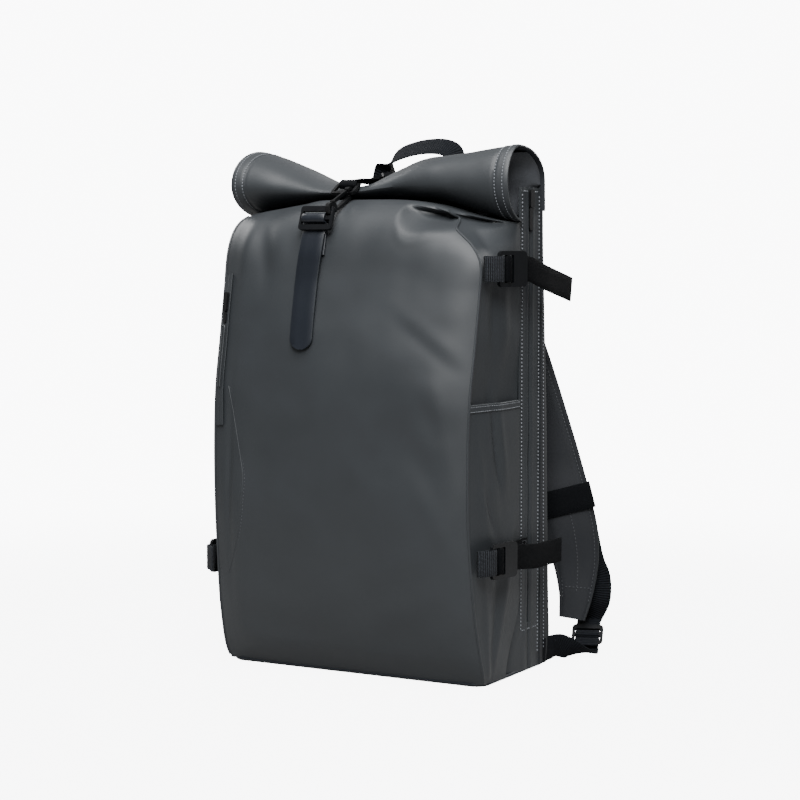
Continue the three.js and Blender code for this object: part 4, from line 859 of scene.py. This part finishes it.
def back_panel():
    ups = shares(90)
    across = spread(72, 0.62)
    rim = 0.965

    def at(s, up, skin):
        z = lerp(WALL_FOOT, BACK_TOP, up)
        back = HALF_D * read(BACK, "up", "back", up)
        crown = 4 * (1 - s * s) * hill(up)
        half = HALF_W - skin * WALL
        if abs(s) > rim:
            t = (abs(s) - rim) / (1 - rim)
            y = lerp(back + crown - 0.18 * (back - STRIP_REAR), STRIP_REAR + SEAM_GAP, t ** 1.6)
            x = half * (1 + 0.012 * hill(t * 0.8))
            return Vector((math.copysign(x, s), y - skin * WALL * (1 - t), z))
        edge = abs(s) / rim
        x = s / rim * half
        seam = 2.2 * ridge(edge, 0.9, 0.025) + 1.8 * ridge(up, 0.955, 0.012)
        fall = 0.18 * (back - STRIP_REAR) * edge ** 14
        pad = slack((x, 4, z), 60, 1.0) if skin == 0 else 0
        pad_deep = WALL if edge > 0.88 else BACK_PAD * hill(0.12 + 0.76 * up) ** 0.3
        deep = min(pad_deep, back - STRIP_REAR - 1.1)
        channel = 2.6 * ridge(x, 0, 11) * smooth(up * 6) * smooth((1 - up) * 6)
        return Vector((x, back + crown - fall + (pad - seam - channel) * (1 - skin) - skin * deep, z))

    outer = [[at(s, up, 0) for s in across] for up in ups]
    inner = [[at(s, up, 1) for s in across] for up in ups]
    made = shell("back_panel_cloth", outer, inner, PADDED, "padded_fabric", ["back_panel"], LINED)

    def on_back(s, up):
        return at(s, up, 0) + BACKWARD * 0.3, BACKWARD

    rows = [[on_back(s, up) for up in shares(80)[3:-5]] for s in (-0.87, 0.87)]
    rows.append([on_back(i / 50, 0.955) for i in range(-43, 44)])
    stitches("back_panel_stitches", rows, 4.0, 2.8, 0.34, DARK_THREAD)
    rows = []
    for side in (1, -1):
        out = Vector((side, 0.3, 0))
        rows.append([(at(side * 0.993, up, 0) + out * 0.1, out) for up in shares(90)[3:-1]])
    stitches("back_binding_stitches", rows, *BOLD_STITCH)


def base_panel():
    front = -HALF_D * SECTIONS[0]["fore"] - 0.5
    back = HALF_D * BACK[0]["back"]
    half_x, half_y = HALF_W * SECTIONS[0]["right"], (back - front) / 2
    middle = (front + back) / 2
    outline = [(x, middle + y) for x, y in rounded_box(half_x, half_y, BASE_CORNER, 8)]
    n = len(outline)
    rings = [(0.9, 0.0), (0.99, 0.0), (1.0, 0.7), (1.0, BASE_THICK - 0.6), (0.995, BASE_THICK),
             (0.9, BASE_THICK)]
    verts = [Vector((x * size, middle + (y - middle) * size, z)) for size, z in rings for x, y in outline]
    piece("base_panel_cloth", verts, tube_faces(len(rings), n), COATED, ["base_panel"])
    ring = [Vector((x, y, BASE_THICK + 0.4)) for x, y in outline]
    ring = [ring[-1].lerp(ring[0], 0.5)] + ring + [ring[-1].lerp(ring[0], 0.49)]
    cord_along("base_welt", ring, 1.6, STRAP_COAT)


def roll():
    """The rolled collar with its hemmed ends, and the tucks inside them."""
    stations = [ROLL_WIDTH / 2 * s for s in spread(110, 0.86)]
    end = ROLL_WIDTH / 2

    def at(x, inset):
        points = roll_section(x, inset)
        points[0].z -= BACK_LAP
        edge = end - abs(x)
        for k, p in enumerate(points):
            hem = 0.5 * smooth((15 - edge) / 1.5) - 0.9 * ridge(edge, 14.6, 0.9)
            rim = -1.1 * (1 - smooth(edge / 1.6))
            share = k / (len(points) - 1)
            free = hill(share) ** 0.4
            swell = slack((x, k * 5, 2), 42, 1.7) + slack((x, k * 4, 8), 16, 0.45)
            pull = 1.6 * ridge(x, 40, 30) * math.sin(k * 0.9 + x * 0.05)
            outward = Vector((0, p.y - ROLL_CORE_Y, p.z - ROLL_CORE_Z)).normalized()
            if inset == 0:
                points[k] = p + outward * ((hem + rim) * free + (swell + pull) * free)
        return points

    outer = [at(x, 0) for x in stations]
    inner = [at(x, WALL) for x in stations]
    shell("roll_cloth", outer, inner, COATED, "coated_fabric", ["roll_collar"], LINED)
    for side, name in SIDES:
        rows = []
        for inward in (5.2, 13.2):
            points = at(side * (end - inward), 0)
            middle = Vector((side * (end - inward), ROLL_CORE_Y, ROLL_CORE_Z))
            rows.append([(p, (p - middle).normalized()) for p in points[3:]])
        stitches(f"roll_hem_stitches_{name}", rows, 3.4)

        roll_tuck(side, name)


def roll_tuck(side, name):
    """The bellows of cloth inside the roll's open end, its top shaped to the roll."""
    mouth = side * (HALF_W - WALL - ZIP_TAPE_THICK - 2 * SEAM_GAP)
    deep = side * (HALF_W - TUCK_REACH)
    crown = roll_height("top", mouth) - WALL - 1
    shoulder = lerp(BACK_TOP + 6, crown, 0.42)
    nose, reach, under = roll_height("nose", mouth), roll_reach(mouth), roll_under(mouth)
    grids = []
    for thick in (0, WALL * 0.6):
        grid = []
        for t in shares(30):
            z = lerp(under + TUCK_SINK, crown - 3, t)
            up = clamp01((z - shoulder) / (crown - shoulder))
            rear = lerp(ROLL_BACK - WALL - 1.5, -ROLL_RIDGE, 1 - math.sqrt(1 - up * up))
            down = clamp01((crown - z) / (crown - nose))
            fore = lerp(-ROLL_RIDGE, reach + WALL + 2, math.sqrt(1 - (1 - down) ** 2))
            dip = clamp01((nose - z) / (nose - under))
            fore = max(fore, lerp(reach, ROLL_TAIL, 1 - math.sqrt(1 - dip * dip)) + WALL + 2)
            flush = smooth((z - STRIP_TOP - 0.5) / 3)
            edge = lerp(mouth, side * (HALF_W - 0.4), flush)
            fold = lerp(mouth, deep, 0.5)

            def leg(x, share, y_end, lay):
                y = lerp(y_end, -ROLL_RIDGE, share) + lay
                wave = 1.4 * math.sin(z * 0.19 + x * 0.05)
                low = roll_height("top", x) - WALL - 4
                return Vector((x + wave * side * hill(share), y, min(z, low - 0.02 * (crown - z))))

            path = [leg(edge, 0, rear, -thick),
                    leg(lerp(edge, fold, 0.16 * flush + 0.2), 0.36, rear, -thick),
                    leg(lerp(edge, fold, 0.75), 0.72, rear, -thick),
                    leg(deep + side * 1.8 * thick, 1, rear, 0),
                    leg(lerp(mouth, deep, 0.6), 0.5, fore, thick), leg(mouth, 0, fore, thick)]
            grid.append(evened(path, 26))
        grids.append(grid)
    shell(f"roll_tuck_{name}_cloth", *grids, GUSSET, "coated_fabric", [f"roll_tuck_{name}"], GUSSET)


# Side straps

SIDE_STRAPS = columns(
    ("name", "side", "height", "seam", "flare", "tail", "drop", "bulge"),
    [
        ("upper_right", 1, 0.854, 1.060, 14, 2.50, 12, 0),
        ("lower_right", 1, 0.262, 1.270, 9, 2.45, 3, 0),
        ("upper_left", -1, 0.854, 0.900, 4, 2.10, 12, 0),
        ("lower_left", -1, 0.226, 1.270, 2, 2.30, 3, 0.34),
    ],
)


def lock_bars(length):
    near = -length / 2
    slot = near + BUCKLE_BAR
    middle = slot + LOOP_SLOT
    return near, slot, middle, middle + BUCKLE_BAR


def round_near_bar(at, near, slot):
    """The way of a webbing's loop round a ladder lock's near bar."""
    turn, line = REACH * 0.6, slot + RUN_GAP + WEB_THICK
    return [at(line - 1, -REACH), at(line, -turn), at(line, turn), at(line - 1, REACH), at(near - 2, REACH)]


def round_middle_bar(at, middle, second):
    """The way of a webbing that comes in under a ladder lock, round its middle bar and out again."""
    turn = REACH * 0.6
    inward, outward = middle - RUN_GAP - WEB_THICK, second + RUN_GAP + WEB_THICK
    return [at(middle + 2, LOCK_LOW), at(inward, LOCK_LOW + 1.2), at(inward, turn), at(inward + 1, REACH),
            at(outward - 1, REACH), at(outward, turn), at(outward, -turn), at(outward + 1.4, -REACH)]


def side_strap(row):
    side, name = row["side"], row["name"]
    near, slot, middle, second = lock_bars(BUCKLE_LENGTH)
    z = row["height"] * BODY_HEIGHT
    up = up_at(side * HALF_W, z)
    half = half_at(side, up)
    swell = BODY_DEPTH * max(0, section_at("side", up))
    skin = max(half, lerp(half, HALF_W, 0.55)) + swell + SEAM_GAP
    start = -HALF_D * row["seam"] + 3
    flare = math.radians(row["flare"])
    off = REACH * 2 + WEB_THICK + math.sin(flare) * (BUCKLE_LENGTH / 2 + BUCKLE_BAR) + row["bulge"] * WEB
    centre_y = start + 14 + BUCKLE_LENGTH / 2

    def at(t, w):
        return Vector((side * (skin + off + t * math.sin(flare) + w * math.cos(flare)),
                       centre_y + t * math.cos(flare) - w * math.sin(flare), z))

    def seam_at(layer):
        return Vector((side * (skin + 0.7 * WEB_THICK + layer), start - 2, z))

    loop = [seam_at(0), at(near - 5, -REACH), *round_near_bar(at, near, slot),
            seam_at(WEB_THICK + 2 * RUN_GAP)]
    webbing(f"strap_loop_{name}", loop, UPRIGHT, RIBBED, 1.6)

    rear = at(BUCKLE_LENGTH / 2 + 6, -REACH)
    drop = math.radians(row["drop"])
    tail = row["tail"] * BUCKLE_LENGTH
    end = rear + Vector((0, tail * math.cos(drop), -tail * math.sin(drop)))
    seat = WEB_THICK / 2 + RUN_GAP
    bend = Vector((side * 2.5, 0, -1.5))
    sewn = side * (HALF_W + seat)
    path = [Vector((sewn, STRIP_FRONT + 14, z)), Vector((sewn, STRIP_FRONT + 2, z)),
            *round_middle_bar(at, middle, second), rear,
            rear.lerp(end, 0.35) + bend, rear.lerp(end, 0.75) + bend * 0.4, end]
    lean = Vector((0, math.sin(drop * 0.6), math.cos(drop * 0.6)))
    widths = [UPRIGHT] * (len(path) - 3) + [UPRIGHT.lerp(lean, 0.5), lean, lean]
    webbing(f"strap_{name}", path, widths, WEBBING, 1.8)

    out = Vector((side, 0, 0))
    box = [Vector((side * (HALF_W + seat + 0.75), STRIP_FRONT + 4 + y, z + h))
           for y, h in ((0, -10), (8, -10), (8, 10), (0, 10), (0, -10), (8, 10))]
    stitches(f"strap_patch_stitches_{name}", [[(p, out) for p in box]], 2.2, 1.7, 0.28, DARK_THREAD)


# Front strap and closure

def slider_at(v, w, x):
    along = Vector((0, math.sin(SLIDER_LEAN), math.cos(SLIDER_LEAN)))
    out = Vector((0, -math.cos(SLIDER_LEAN), math.sin(SLIDER_LEAN)))
    return Vector((x, front_y(SLIDER_X, SLIDER_Z) - SLIDER_STAND, SLIDER_Z)) + along * v + out * w


def front_strap():
    reach = BUCKLE_THICK / 2 + RUN_GAP + STRAP_THICK / 2
    layer = STRAP_THICK + RUN_GAP
    bar = SLIDER_BAR / 2
    line = bar + RUN_GAP + STRAP_THICK / 2
    foot = SLIDER_Z - SLIDER_HEIGHT / 2

    def skin(z, x=STRAP_SIDE):
        return front_y(x, z) - STRAP_THICK / 2 - RUN_GAP

    def hang(t):
        z = lerp(foot - 7, foot - STRAP_DROP + SLIDER_HEIGHT, t)
        x = lerp(STRAP_SIDE, STRAP_X, smooth(t * 2))
        return Vector((x, skin(z, x) - (layer + 0.8) * (1 - smooth(t * 2.4 - 0.25)) - 1.6, z))

    seats = [(-SLIDER_HEIGHT / 2, -reach - layer), (bar, -reach - layer), (line, -reach - layer * 0.4),
             (line, reach * 0.5), (bar, reach), (-bar, reach), (-line, reach * 0.5),
             (-line - 0.2, -reach * 0.5), (-line - 1.6, -reach), (-SLIDER_HEIGHT / 2 - 2, -reach)]
    path = [Vector((STRAP_SIDE, skin(foot - STRAP_TUCK) - 1, foot - STRAP_TUCK)),
            Vector((STRAP_SIDE, skin(foot - STRAP_TUCK / 2) - 1, foot - STRAP_TUCK / 2))]
    path += [slider_at(v, w, STRAP_SIDE) for v, w in seats] + [hang(t) for t in shares(7)]
    down = (path[-1] - path[-2]).normalized()
    tip = path[-1].copy()
    path += [tip + down * (STRAP_WIDTH * t) for t in (0.25, 0.42, 0.5)]
    total = sum((b - a).length for a, b in zip(path, path[1:]))
    nose = STRAP_WIDTH / 2
    fine = finer(path, 1.2)
    left = [total]
    for a, b in zip(fine, fine[1:]):
        left.append(left[-1] - (b - a).length)

    def width(t):
        rest = max(0.0, left[min(len(left) - 1, round(t * (len(left) - 1)))] - left[-1])
        if rest >= nose:
            return STRAP_WIDTH
        return max(5.0, STRAP_WIDTH * math.sqrt(max(0.0, 1 - (1 - rest / nose) ** 2.4)))

    strap("front_strap_coated", path, RIGHTWARD, width, STRAP_THICK, STRAP_COAT,
          ["front_strap"], 1.2, 0.5)
    # A lighter coated cord along the strap's right edge alone: a painted highlight on that edge
    beside = Vector((STRAP_WIDTH / 2 - 0.2, -STRAP_THICK * 0.42, 0))
    edge = [p + beside for p in fine[-int(len(fine) * 0.62):-10]]
    cord_along("front_strap_painted_highlight", edge, 0.42, COATED, (), 6)


def ring_at(v, w):
    along = Vector((0, math.cos(RING_LEAN), math.sin(RING_LEAN)))
    out = Vector((0, -math.sin(RING_LEAN), math.cos(RING_LEAN)))
    return Vector((RING_X, -RING_FORE, RING_Z)) + along * v + out * w


def closure():
    back_bar = RING_LENGTH / 2 - RING_BAR / 2
    around = RING_BAR / 2 + 2 * RUN_GAP + WEB_THICK / 2

    def x_at(y):
        return lerp(RING_X, CLOSURE_BACK_X, (y + RING_FORE) / (ROLL_BACK + RING_FORE))

    def slope(x, y):
        return (roll_top(x + 12, y) - roll_top(x - 12, y)) / 24

    def over(y, lift):
        x = x_at(y)
        crest = max(roll_top(x + d, y) - d * slope(x, y) for d in (-10, 0, 10))
        return Vector((x, y, crest + lift))

    def wide(p):
        return Vector((1, 0, 0 if p.y < -30 else slope(p.x, p.y)))

    lift = WEB_THICK / 2 + 2 * RUN_GAP
    lock = BUCKLE_THICK / 2 + RUN_GAP + WEB_THICK / 2
    half = ADJUSTER_LENGTH / 2
    along = (over(ADJUSTER_Y + 12, 0) - over(ADJUSTER_Y - 12, 0)).normalized()
    x = Vector((1, 0, slope(x_at(ADJUSTER_Y), ADJUSTER_Y)))
    x = (x - along * x.dot(along)).normalized()
    out = x.cross(along)

    def seat(v, w):
        return over(ADJUSTER_Y, lift + lock + 0.8) + along * v + out * w

    line = ADJUSTER_BAR / 2 + RUN_GAP + WEB_THICK / 2 + 0.1
    through = [(-half, -lock), (-line - 1.4, -lock), (-line - 0.2, -lock * 0.5), (-line, lock * 0.7),
               (-line + 0.9, lock)]
    path = [ring_at(back_bar + around + 5, -around), ring_at(back_bar - 1.2, -around),
            ring_at(back_bar - around, -1.2), ring_at(back_bar - around, 1.2),
            ring_at(back_bar - 1.2, around), ring_at(back_bar + 3, around + 0.4),
            over(-30, lift + 4), over(-22, lift + 2.4)]
    widths = [wide(p) for p in path]
    path += [seat(v, w) for v, w in through] + [seat(-v, w) for v, w in reversed(through)]
    widths += [x] * (2 * len(through))
    rear = [over(30, lift + 0.8), over(43, lift + 1), over(49.5, lift + 1.4),
            Vector((CLOSURE_BACK_X, ROLL_BACK + lift + 1, BODY_HEIGHT + 5)),
            Vector((CLOSURE_BACK_X, ROLL_BACK + lift + 0.4, BACK_TOP + 4))]
    strap("closure_web", path + rear, widths + [wide(p) for p in rear], CLOSURE_WEB, WEB_THICK, FINE_WEB,
          ["closure_webbing"], 1.5)


def grab_handle():
    half, rise = HANDLE_SPAN / 2, HANDLE_RISE - HANDLE_FOOT
    seat = ROLL_BACK + WEB_THICK + RUN_GAP
    shape = [(-1, 0), (-1, 0.3), (-0.98, 0.52), (-0.86, 0.74), (-0.58, 0.9), (-0.2, 0.97),
             (0.2, 1), (0.6, 0.99), (0.86, 0.93), (0.98, 0.78), (1, 0.52), (1, 0.3), (1, 0)]
    path = [Vector((4 + half * x, seat + 0.6 + 5.5 * smooth((up - 0.35) / 0.6), HANDLE_FOOT + rise * up))
            for x, up in shape]
    path = finer(path, 6)
    leans = [smooth((p.z - BODY_HEIGHT - 20) / 30) for p in path]
    widths = [Vector((1 - lean, 0.72 * lean, 0.68 * lean)) for lean in leans]
    webbing("grab_handle", path, widths, STRAP_WEB, 2.4, HANDLE_WEB)


# Shoulder straps

SHOULDER = columns(
    ("down", "out", "back", "turn", "wide", "thick"),
    [
        (0.960, 0.360, 0.035, 0, 0.90, 0.60),
        (0.955, 0.370, 0.130, 0, 0.95, 0.90),
        (0.925, 0.390, 0.230, 2, 1.00, 1.00),
        (0.860, 0.440, 0.320, 4, 1.05, 1.00),
        (0.760, 0.530, 0.390, 8, 1.08, 1.00),
        (0.640, 0.660, 0.430, 12, 1.06, 1.00),
        (0.520, 0.780, 0.470, 18, 1.02, 1.00),
        (0.420, 0.870, 0.510, 22, 1.00, 1.00),
        (0.340, 0.940, 0.525, 26, 1.00, 1.00),
        (0.270, 0.990, 0.545, 28, 0.98, 1.00),
        (0.200, 1.005, 0.570, 28, 0.88, 0.95),
        (0.130, 1.000, 0.560, 28, 0.70, 0.85),
        (0.075, 0.985, 0.530, 28, 0.54, 0.55),
    ],
)


def shoulder_row(side, i):
    row = SHOULDER[i]

    def centre(r):
        return Vector((side * HALF_W * r["out"], HALF_D * BACK_LEVEL + BODY_DEPTH * r["back"],
                       BODY_HEIGHT * r["down"]))

    turn = math.radians(row["turn"])
    along = (centre(SHOULDER[min(len(SHOULDER) - 1, i + 1)]) - centre(SHOULDER[max(0, i - 1)])).normalized()
    across = Vector((side * math.cos(turn), math.sin(turn), 0))
    across = (across - along * across.dot(along)).normalized()
    out = across.cross(along).normalized()
    if out.y < 0:
        out.negate()
    return centre(row), across, out, PAD_WIDTH * row["wide"], PAD_THICK * row["thick"]


def shoulder_point(side, i, share, off, lift=0.0):
    at, across, out, width, thick = shoulder_row(side, i)
    p = at + across * (share * width / 2) + out * (thick / 2 + off)
    p.z = at.z + lift
    return p


def shoulder_strap(side, name):
    rows = [shoulder_row(side, i) for i in range(len(SHOULDER))]
    centres, acrosses = rounded_path([r[0] for r in rows], [r[1] for r in rows], 4)
    _, sizes = rounded_path([r[0] for r in rows], [Vector((r[3], r[4], 0)) for r in rows], 4)
    around = 28

    def directions(i):
        along = along_path(centres, i)
        across = (acrosses[i] - along * acrosses[i].dot(along)).normalized()
        out = across.cross(along)
        return across, -out if out.y < 0 else out

    verts = []
    for i, p in enumerate(centres):
        across, out = directions(i)
        width, thick = sizes[i].x, sizes[i].y
        flare = 0.26 * hill((p.z - 60) / 190)
        for k in range(around):
            a = 2 * math.pi * (k + 0.5) / around
            c = math.copysign(abs(math.cos(a)) ** 0.5, math.cos(a))
            d = math.copysign(abs(math.sin(a)) ** 0.7, math.sin(a))
            binding = 1 - 0.34 * ridge(abs(c), 0.84, 0.05)
            swell = slack((c * 20, side * 30 + d * 3, p.z), 26, 0.5)
            wide = c * width / 2 * (1 + flare * smooth(-c * 2))
            verts.append(p + across * wide + out * (d * thick / 2 * binding + swell * d))
    made = piece(f"shoulder_strap_{name}_pad", verts, tube_faces(len(centres), around), PADDED,
                 [f"shoulder_strap_{name}"])

    def near_edge(i, edge, face):
        across, out = directions(i)
        return centres[i] + across * (edge * sizes[i].x / 2) + out * (face * sizes[i].y * 0.36), out * face

    def on_outside(i, share):
        across, out = directions(i)
        level = sizes[i].y * 0.5 * (1 - abs(share) ** 4) ** 0.25 + 0.25
        return centres[i] + across * (share * sizes[i].x / 2) - out * level, -out

    stitch_rows = [[near_edge(i, edge, face) for i in range(4, len(centres) - 4, 2)]
                   for edge in (-0.8, 0.8) for face in (-1, 1)]
    low = len(centres) * 18 // 25
    stitch_rows.append([on_outside(i, 0) for i in range(low, len(centres) - 8, 2)])
    stitch_rows.append([on_outside(len(centres) - 10, share / 10) for share in range(-7, 8)])
    stitches(f"shoulder_stitches_{name}", stitch_rows, 4.0, 2.7, 0.36, DARK_THREAD)


def chest_band(side, name):
    at, across, out, width, thick = shoulder_row(side, BAND_ROW)
    half_w = width / 2 + WEB_THICK / 2 + 2 * RUN_GAP
    half_t = thick / 2 + WEB_THICK / 2 + 2 * RUN_GAP
    outline = rounded_box(half_w, half_t, 3, 3)
    line = [at + across * x + out * y for x, y in outline[2:] + outline[:1]]
    along = across.cross(out)
    webbing(f"chest_band_{name}", line, along, FINE_WEB, 3, BAND_HEIGHT)


def foot_strap(side, name):
    near, slot, middle, second = lock_bars(FOOT_LOCK_LENGTH)
    wide = Vector((side * math.cos(FOOT_LOCK_TURN), math.sin(FOOT_LOCK_TURN), 0))
    lean = math.cos(FOOT_LOCK_TILT)
    long = Vector((-side * math.sin(FOOT_LOCK_TURN) * lean, math.cos(FOOT_LOCK_TURN) * lean,
                   math.sin(FOOT_LOCK_TILT)))
    out = wide.cross(long) * side
    centre = Vector((side * (HALF_W + FOOT_LOCK_OUT), HALF_D + FOOT_LOCK_BACK, FOOT_LOCK_Z))

    def at(v, w):
        return centre + long * v + out * w

    half = FOOT_LOCK_LENGTH / 2
    rest = WEB_THICK / 2 + RUN_GAP
    path = [shoulder_point(side, FOOT_ROW, 0.45, rest, 10),
            shoulder_point(side, FOOT_ROW + 1, 0.75, rest + 3),
            shoulder_point(side, FOOT_ROW + 1, 1.05, rest + 6, -18),
            shoulder_point(side, FOOT_ROW + 2, 1.4, rest + 8, -8),
            at(half + 16, LOCK_LOW - 1.5), at(half + 6, LOCK_LOW),
            *round_middle_bar(at, middle, second), at(half + 4, -REACH), at(half + 12, -REACH + 0.8)]
    pad_wide = shoulder_row(side, FOOT_ROW)[1]
    widths = [pad_wide.lerp(wide, smooth((i - 1) / 3)) for i in range(len(path))]
    webbing(f"foot_webbing_{name}", path, widths, STRAP_WEB, 1.8)

    corner = side * (HALF_W + rest)
    bend = Vector((corner + side * 3, HALF_D + 12, ANCHOR_Z))
    path = [Vector((corner, ANCHOR_Y, ANCHOR_Z)), Vector((corner, HALF_D - 2, ANCHOR_Z)), bend,
            at(near - 16, -REACH * 0.5).lerp(bend, 0.4), at(near - 9, -REACH - 1), at(near - 3, -REACH - 0.4),
            *round_near_bar(at, near, slot), at(near - 6, REACH - 0.4)]
    widths = [UPRIGHT.lerp(wide, smooth((i - 1) / 3)) for i in range(len(path))]
    webbing(f"anchor_webbing_{name}", path, widths, STRAP_WEB, 1.8)


# Front zip

def front_zip():
    def at(z):
        up = up_at(FRONT_ZIP_X, z)
        s = FRONT_ZIP_X / half_at(FRONT_ZIP_X, up)
        wide = (front_point(s + 0.02, up) - front_point(s - 0.02, up)).normalized()
        return front_point(s, up), wide, wide.cross(UPRIGHT).normalized()

    heights = [lerp(FRONT_ZIP_TOP, FRONT_ZIP_FOOT, t) for t in shares(22)]
    spots = [at(z) for z in heights]
    widths = [w for _, w, _ in spots]
    strap("front_zip_tape", [p + out * 0.9 for p, _, out in spots], widths, FRONT_ZIP_WIDE,
          ZIP_TAPE_THICK, FINE_WEB, ["front_zip"], 4)
    for edge, name in ((-1, "left"), (1, "right")):
        flap = [p + out * 1.5 + w * (edge * 3.1) for p, w, out in spots]
        strap(f"front_zip_flap_{name}", flap, widths, 5.4, 1.0, COATED, (), 4)
    half = LOOP_SPREAD / 2
    path = []
    for t in (0, 0.13, 0.27, 0.4, 0.43, 0.46, 0.5, 0.54, 0.57, 0.6, 0.73, 0.87, 1):
        angle = math.pi * clamp01((t - 0.4) / 0.2)
        run = min(t, 1 - t, 0.4) / 0.4
        drop = RUN_GAP + LOOP_THICK + half + LOOP_LENGTH * (1 - run)
        z = ZIP_TAB_LOW - drop + half * math.sin(angle)
        p, wide, out = at(z)
        path.append(p + out * (3.0 + LOOP_THICK / 2) + wide * (-half * math.cos(angle)))
    cord_along("front_zip_pull_loop", finer(path, 2), LOOP_THICK / 2, COATED, ["front_zip_loop"])


# Hardware, camera, light and floor

def hardware():
    """The moulded and metal fittings keep the part's own shape, with softened edges."""
    plastic = ["front_slider", "closure_adjuster", "foot_buckle_right", "foot_buckle_left"]
    plastic += [f"buckle_{row['name']}" for row in SIDE_STRAPS]
    metal = ["closure_ring", "snap_hook", "hook_gate", "front_zip_slider", "front_zip_pull"]
    metal += [f"side_zip_{name}_{part}" for _, name in SIDES for part in ("slider", "pull")]
    for names, finish, width in ((plastic, MOULDED, 0.55), (metal, METAL, 0.35)):
        for name in names:
            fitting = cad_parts[name]
            if not fitting.material_slots:
                fitting.data.materials.append(finish)
            for place in fitting.material_slots:
                place.link = "OBJECT"
                place.material = finish
            soft = fitting.modifiers.new("soft_edges", "BEVEL")
            soft.width = width * MM
            soft.segments = 2
            soft.limit_method = "ANGLE"
            soft.angle_limit = math.radians(35)


def aim(thing, at, target):
    thing.location = Vector(at)
    thing.rotation_euler = (Vector(target) - Vector(at)).to_track_quat("-Z", "Y").to_euler()


def camera():
    azimuth, distance, eye, side, middle = 0.510009754, 2.1, 0.423337, 0.012074, 0.273517
    sensor, focal_pixels, picture_width = 36, 2030.932, 800
    data = bpy.data.cameras.new("camera")
    data.sensor_width = sensor
    data.lens = sensor * focal_pixels / picture_width
    view = placed("camera", data)
    right = Vector((math.cos(azimuth), math.sin(azimuth), 0)) * side
    aim(view, Vector((math.sin(azimuth), -math.cos(azimuth), 0)) * distance + right + Vector((0, 0, eye)),
        right + Vector((0, 0, middle)))
    bpy.context.scene.camera = view


def lamp(name, at, target, size, power):
    data = bpy.data.lights.new(name, "AREA")
    data.size = size
    data.energy = power
    aim(placed(name, data), at, target)


def backdrop():
    """A bright even backdrop for the camera, dimmer as a light."""
    world = bpy.data.worlds.new("studio")
    world.use_nodes = True
    tree = world.node_tree
    seen = node(tree, "ShaderNodeLightPath").outputs["Is Camera Ray"]
    level = node(tree, "ShaderNodeMapRange", [("To Min", FILL_LEVEL), ("To Max", BACKDROP_LEVEL)],
                 [("Value", seen)])
    tree.nodes["Background"].inputs["Color"].default_value = (0.985, 0.99, 1, 1)
    tree.links.new(level.outputs[0], tree.nodes["Background"].inputs["Strength"])
    bpy.context.scene.world = world


def floor():
    """A pale floor that fades into the backdrop away from the bag."""
    paper = bpy.data.materials.new("pale_floor")
    paper.use_nodes = True
    tree = paper.node_tree
    shader = tree.nodes["Principled BSDF"]
    shader.inputs["Base Color"].default_value = (0.93, 0.93, 0.925, 1)
    shader.inputs["Roughness"].default_value = 0.9
    shader.inputs["Specular IOR Level"].default_value = 0.1
    place = node(tree, "ShaderNodeTexCoord").outputs["Object"]
    away = node(tree, "ShaderNodeVectorMath", [], [(0, place)], operation="LENGTH")
    fade = node(tree, "ShaderNodeMapRange",
                [("From Min", 0.45), ("From Max", 1.6), ("To Min", 0.26), ("To Max", 0)],
                [("Value", away.outputs["Value"])], interpolation_type="SMOOTHERSTEP")
    tree.links.new(fade.outputs[0], shader.inputs["Alpha"])
    mesh = bpy.data.meshes.new("floor")
    corners = [(-1, -1), (1, -1), (1, 1), (-1, 1)]
    mesh.from_pydata([(x * FLOOR_REACH, y * FLOOR_REACH, 0) for x, y in corners], [], [(0, 1, 2, 3)])
    mesh.materials.append(paper)
    made = placed("floor", mesh)


def studio():
    backdrop()
    floor()
    lamp("overhead", (0.35, -0.8, 2.7), (0, 0, 0.2), 1.7, 160)
    lamp("front_right", (1.0, -1.9, 2.0), (0.02, -0.1, 0.4), 1.0, 140)
    lamp("rear_left", (-2.0, 0.7, 1.6), (0, 0, 0.3), 1.0, 36)
    lamp("behind", (0.2, 2.4, 1.5), (0, 0, 0.3), 1.2, 60)


camera()
studio()
front_panel()
side_panels()
strips()
back_panel()
base_panel()
roll()
for strap_row in SIDE_STRAPS:
    side_strap(strap_row)
front_strap()
closure()
grab_handle()
for strap_side, side_name in SIDES:
    shoulder_strap(strap_side, side_name)
    chest_band(strap_side, side_name)
    foot_strap(strap_side, side_name)
front_zip()
hardware()
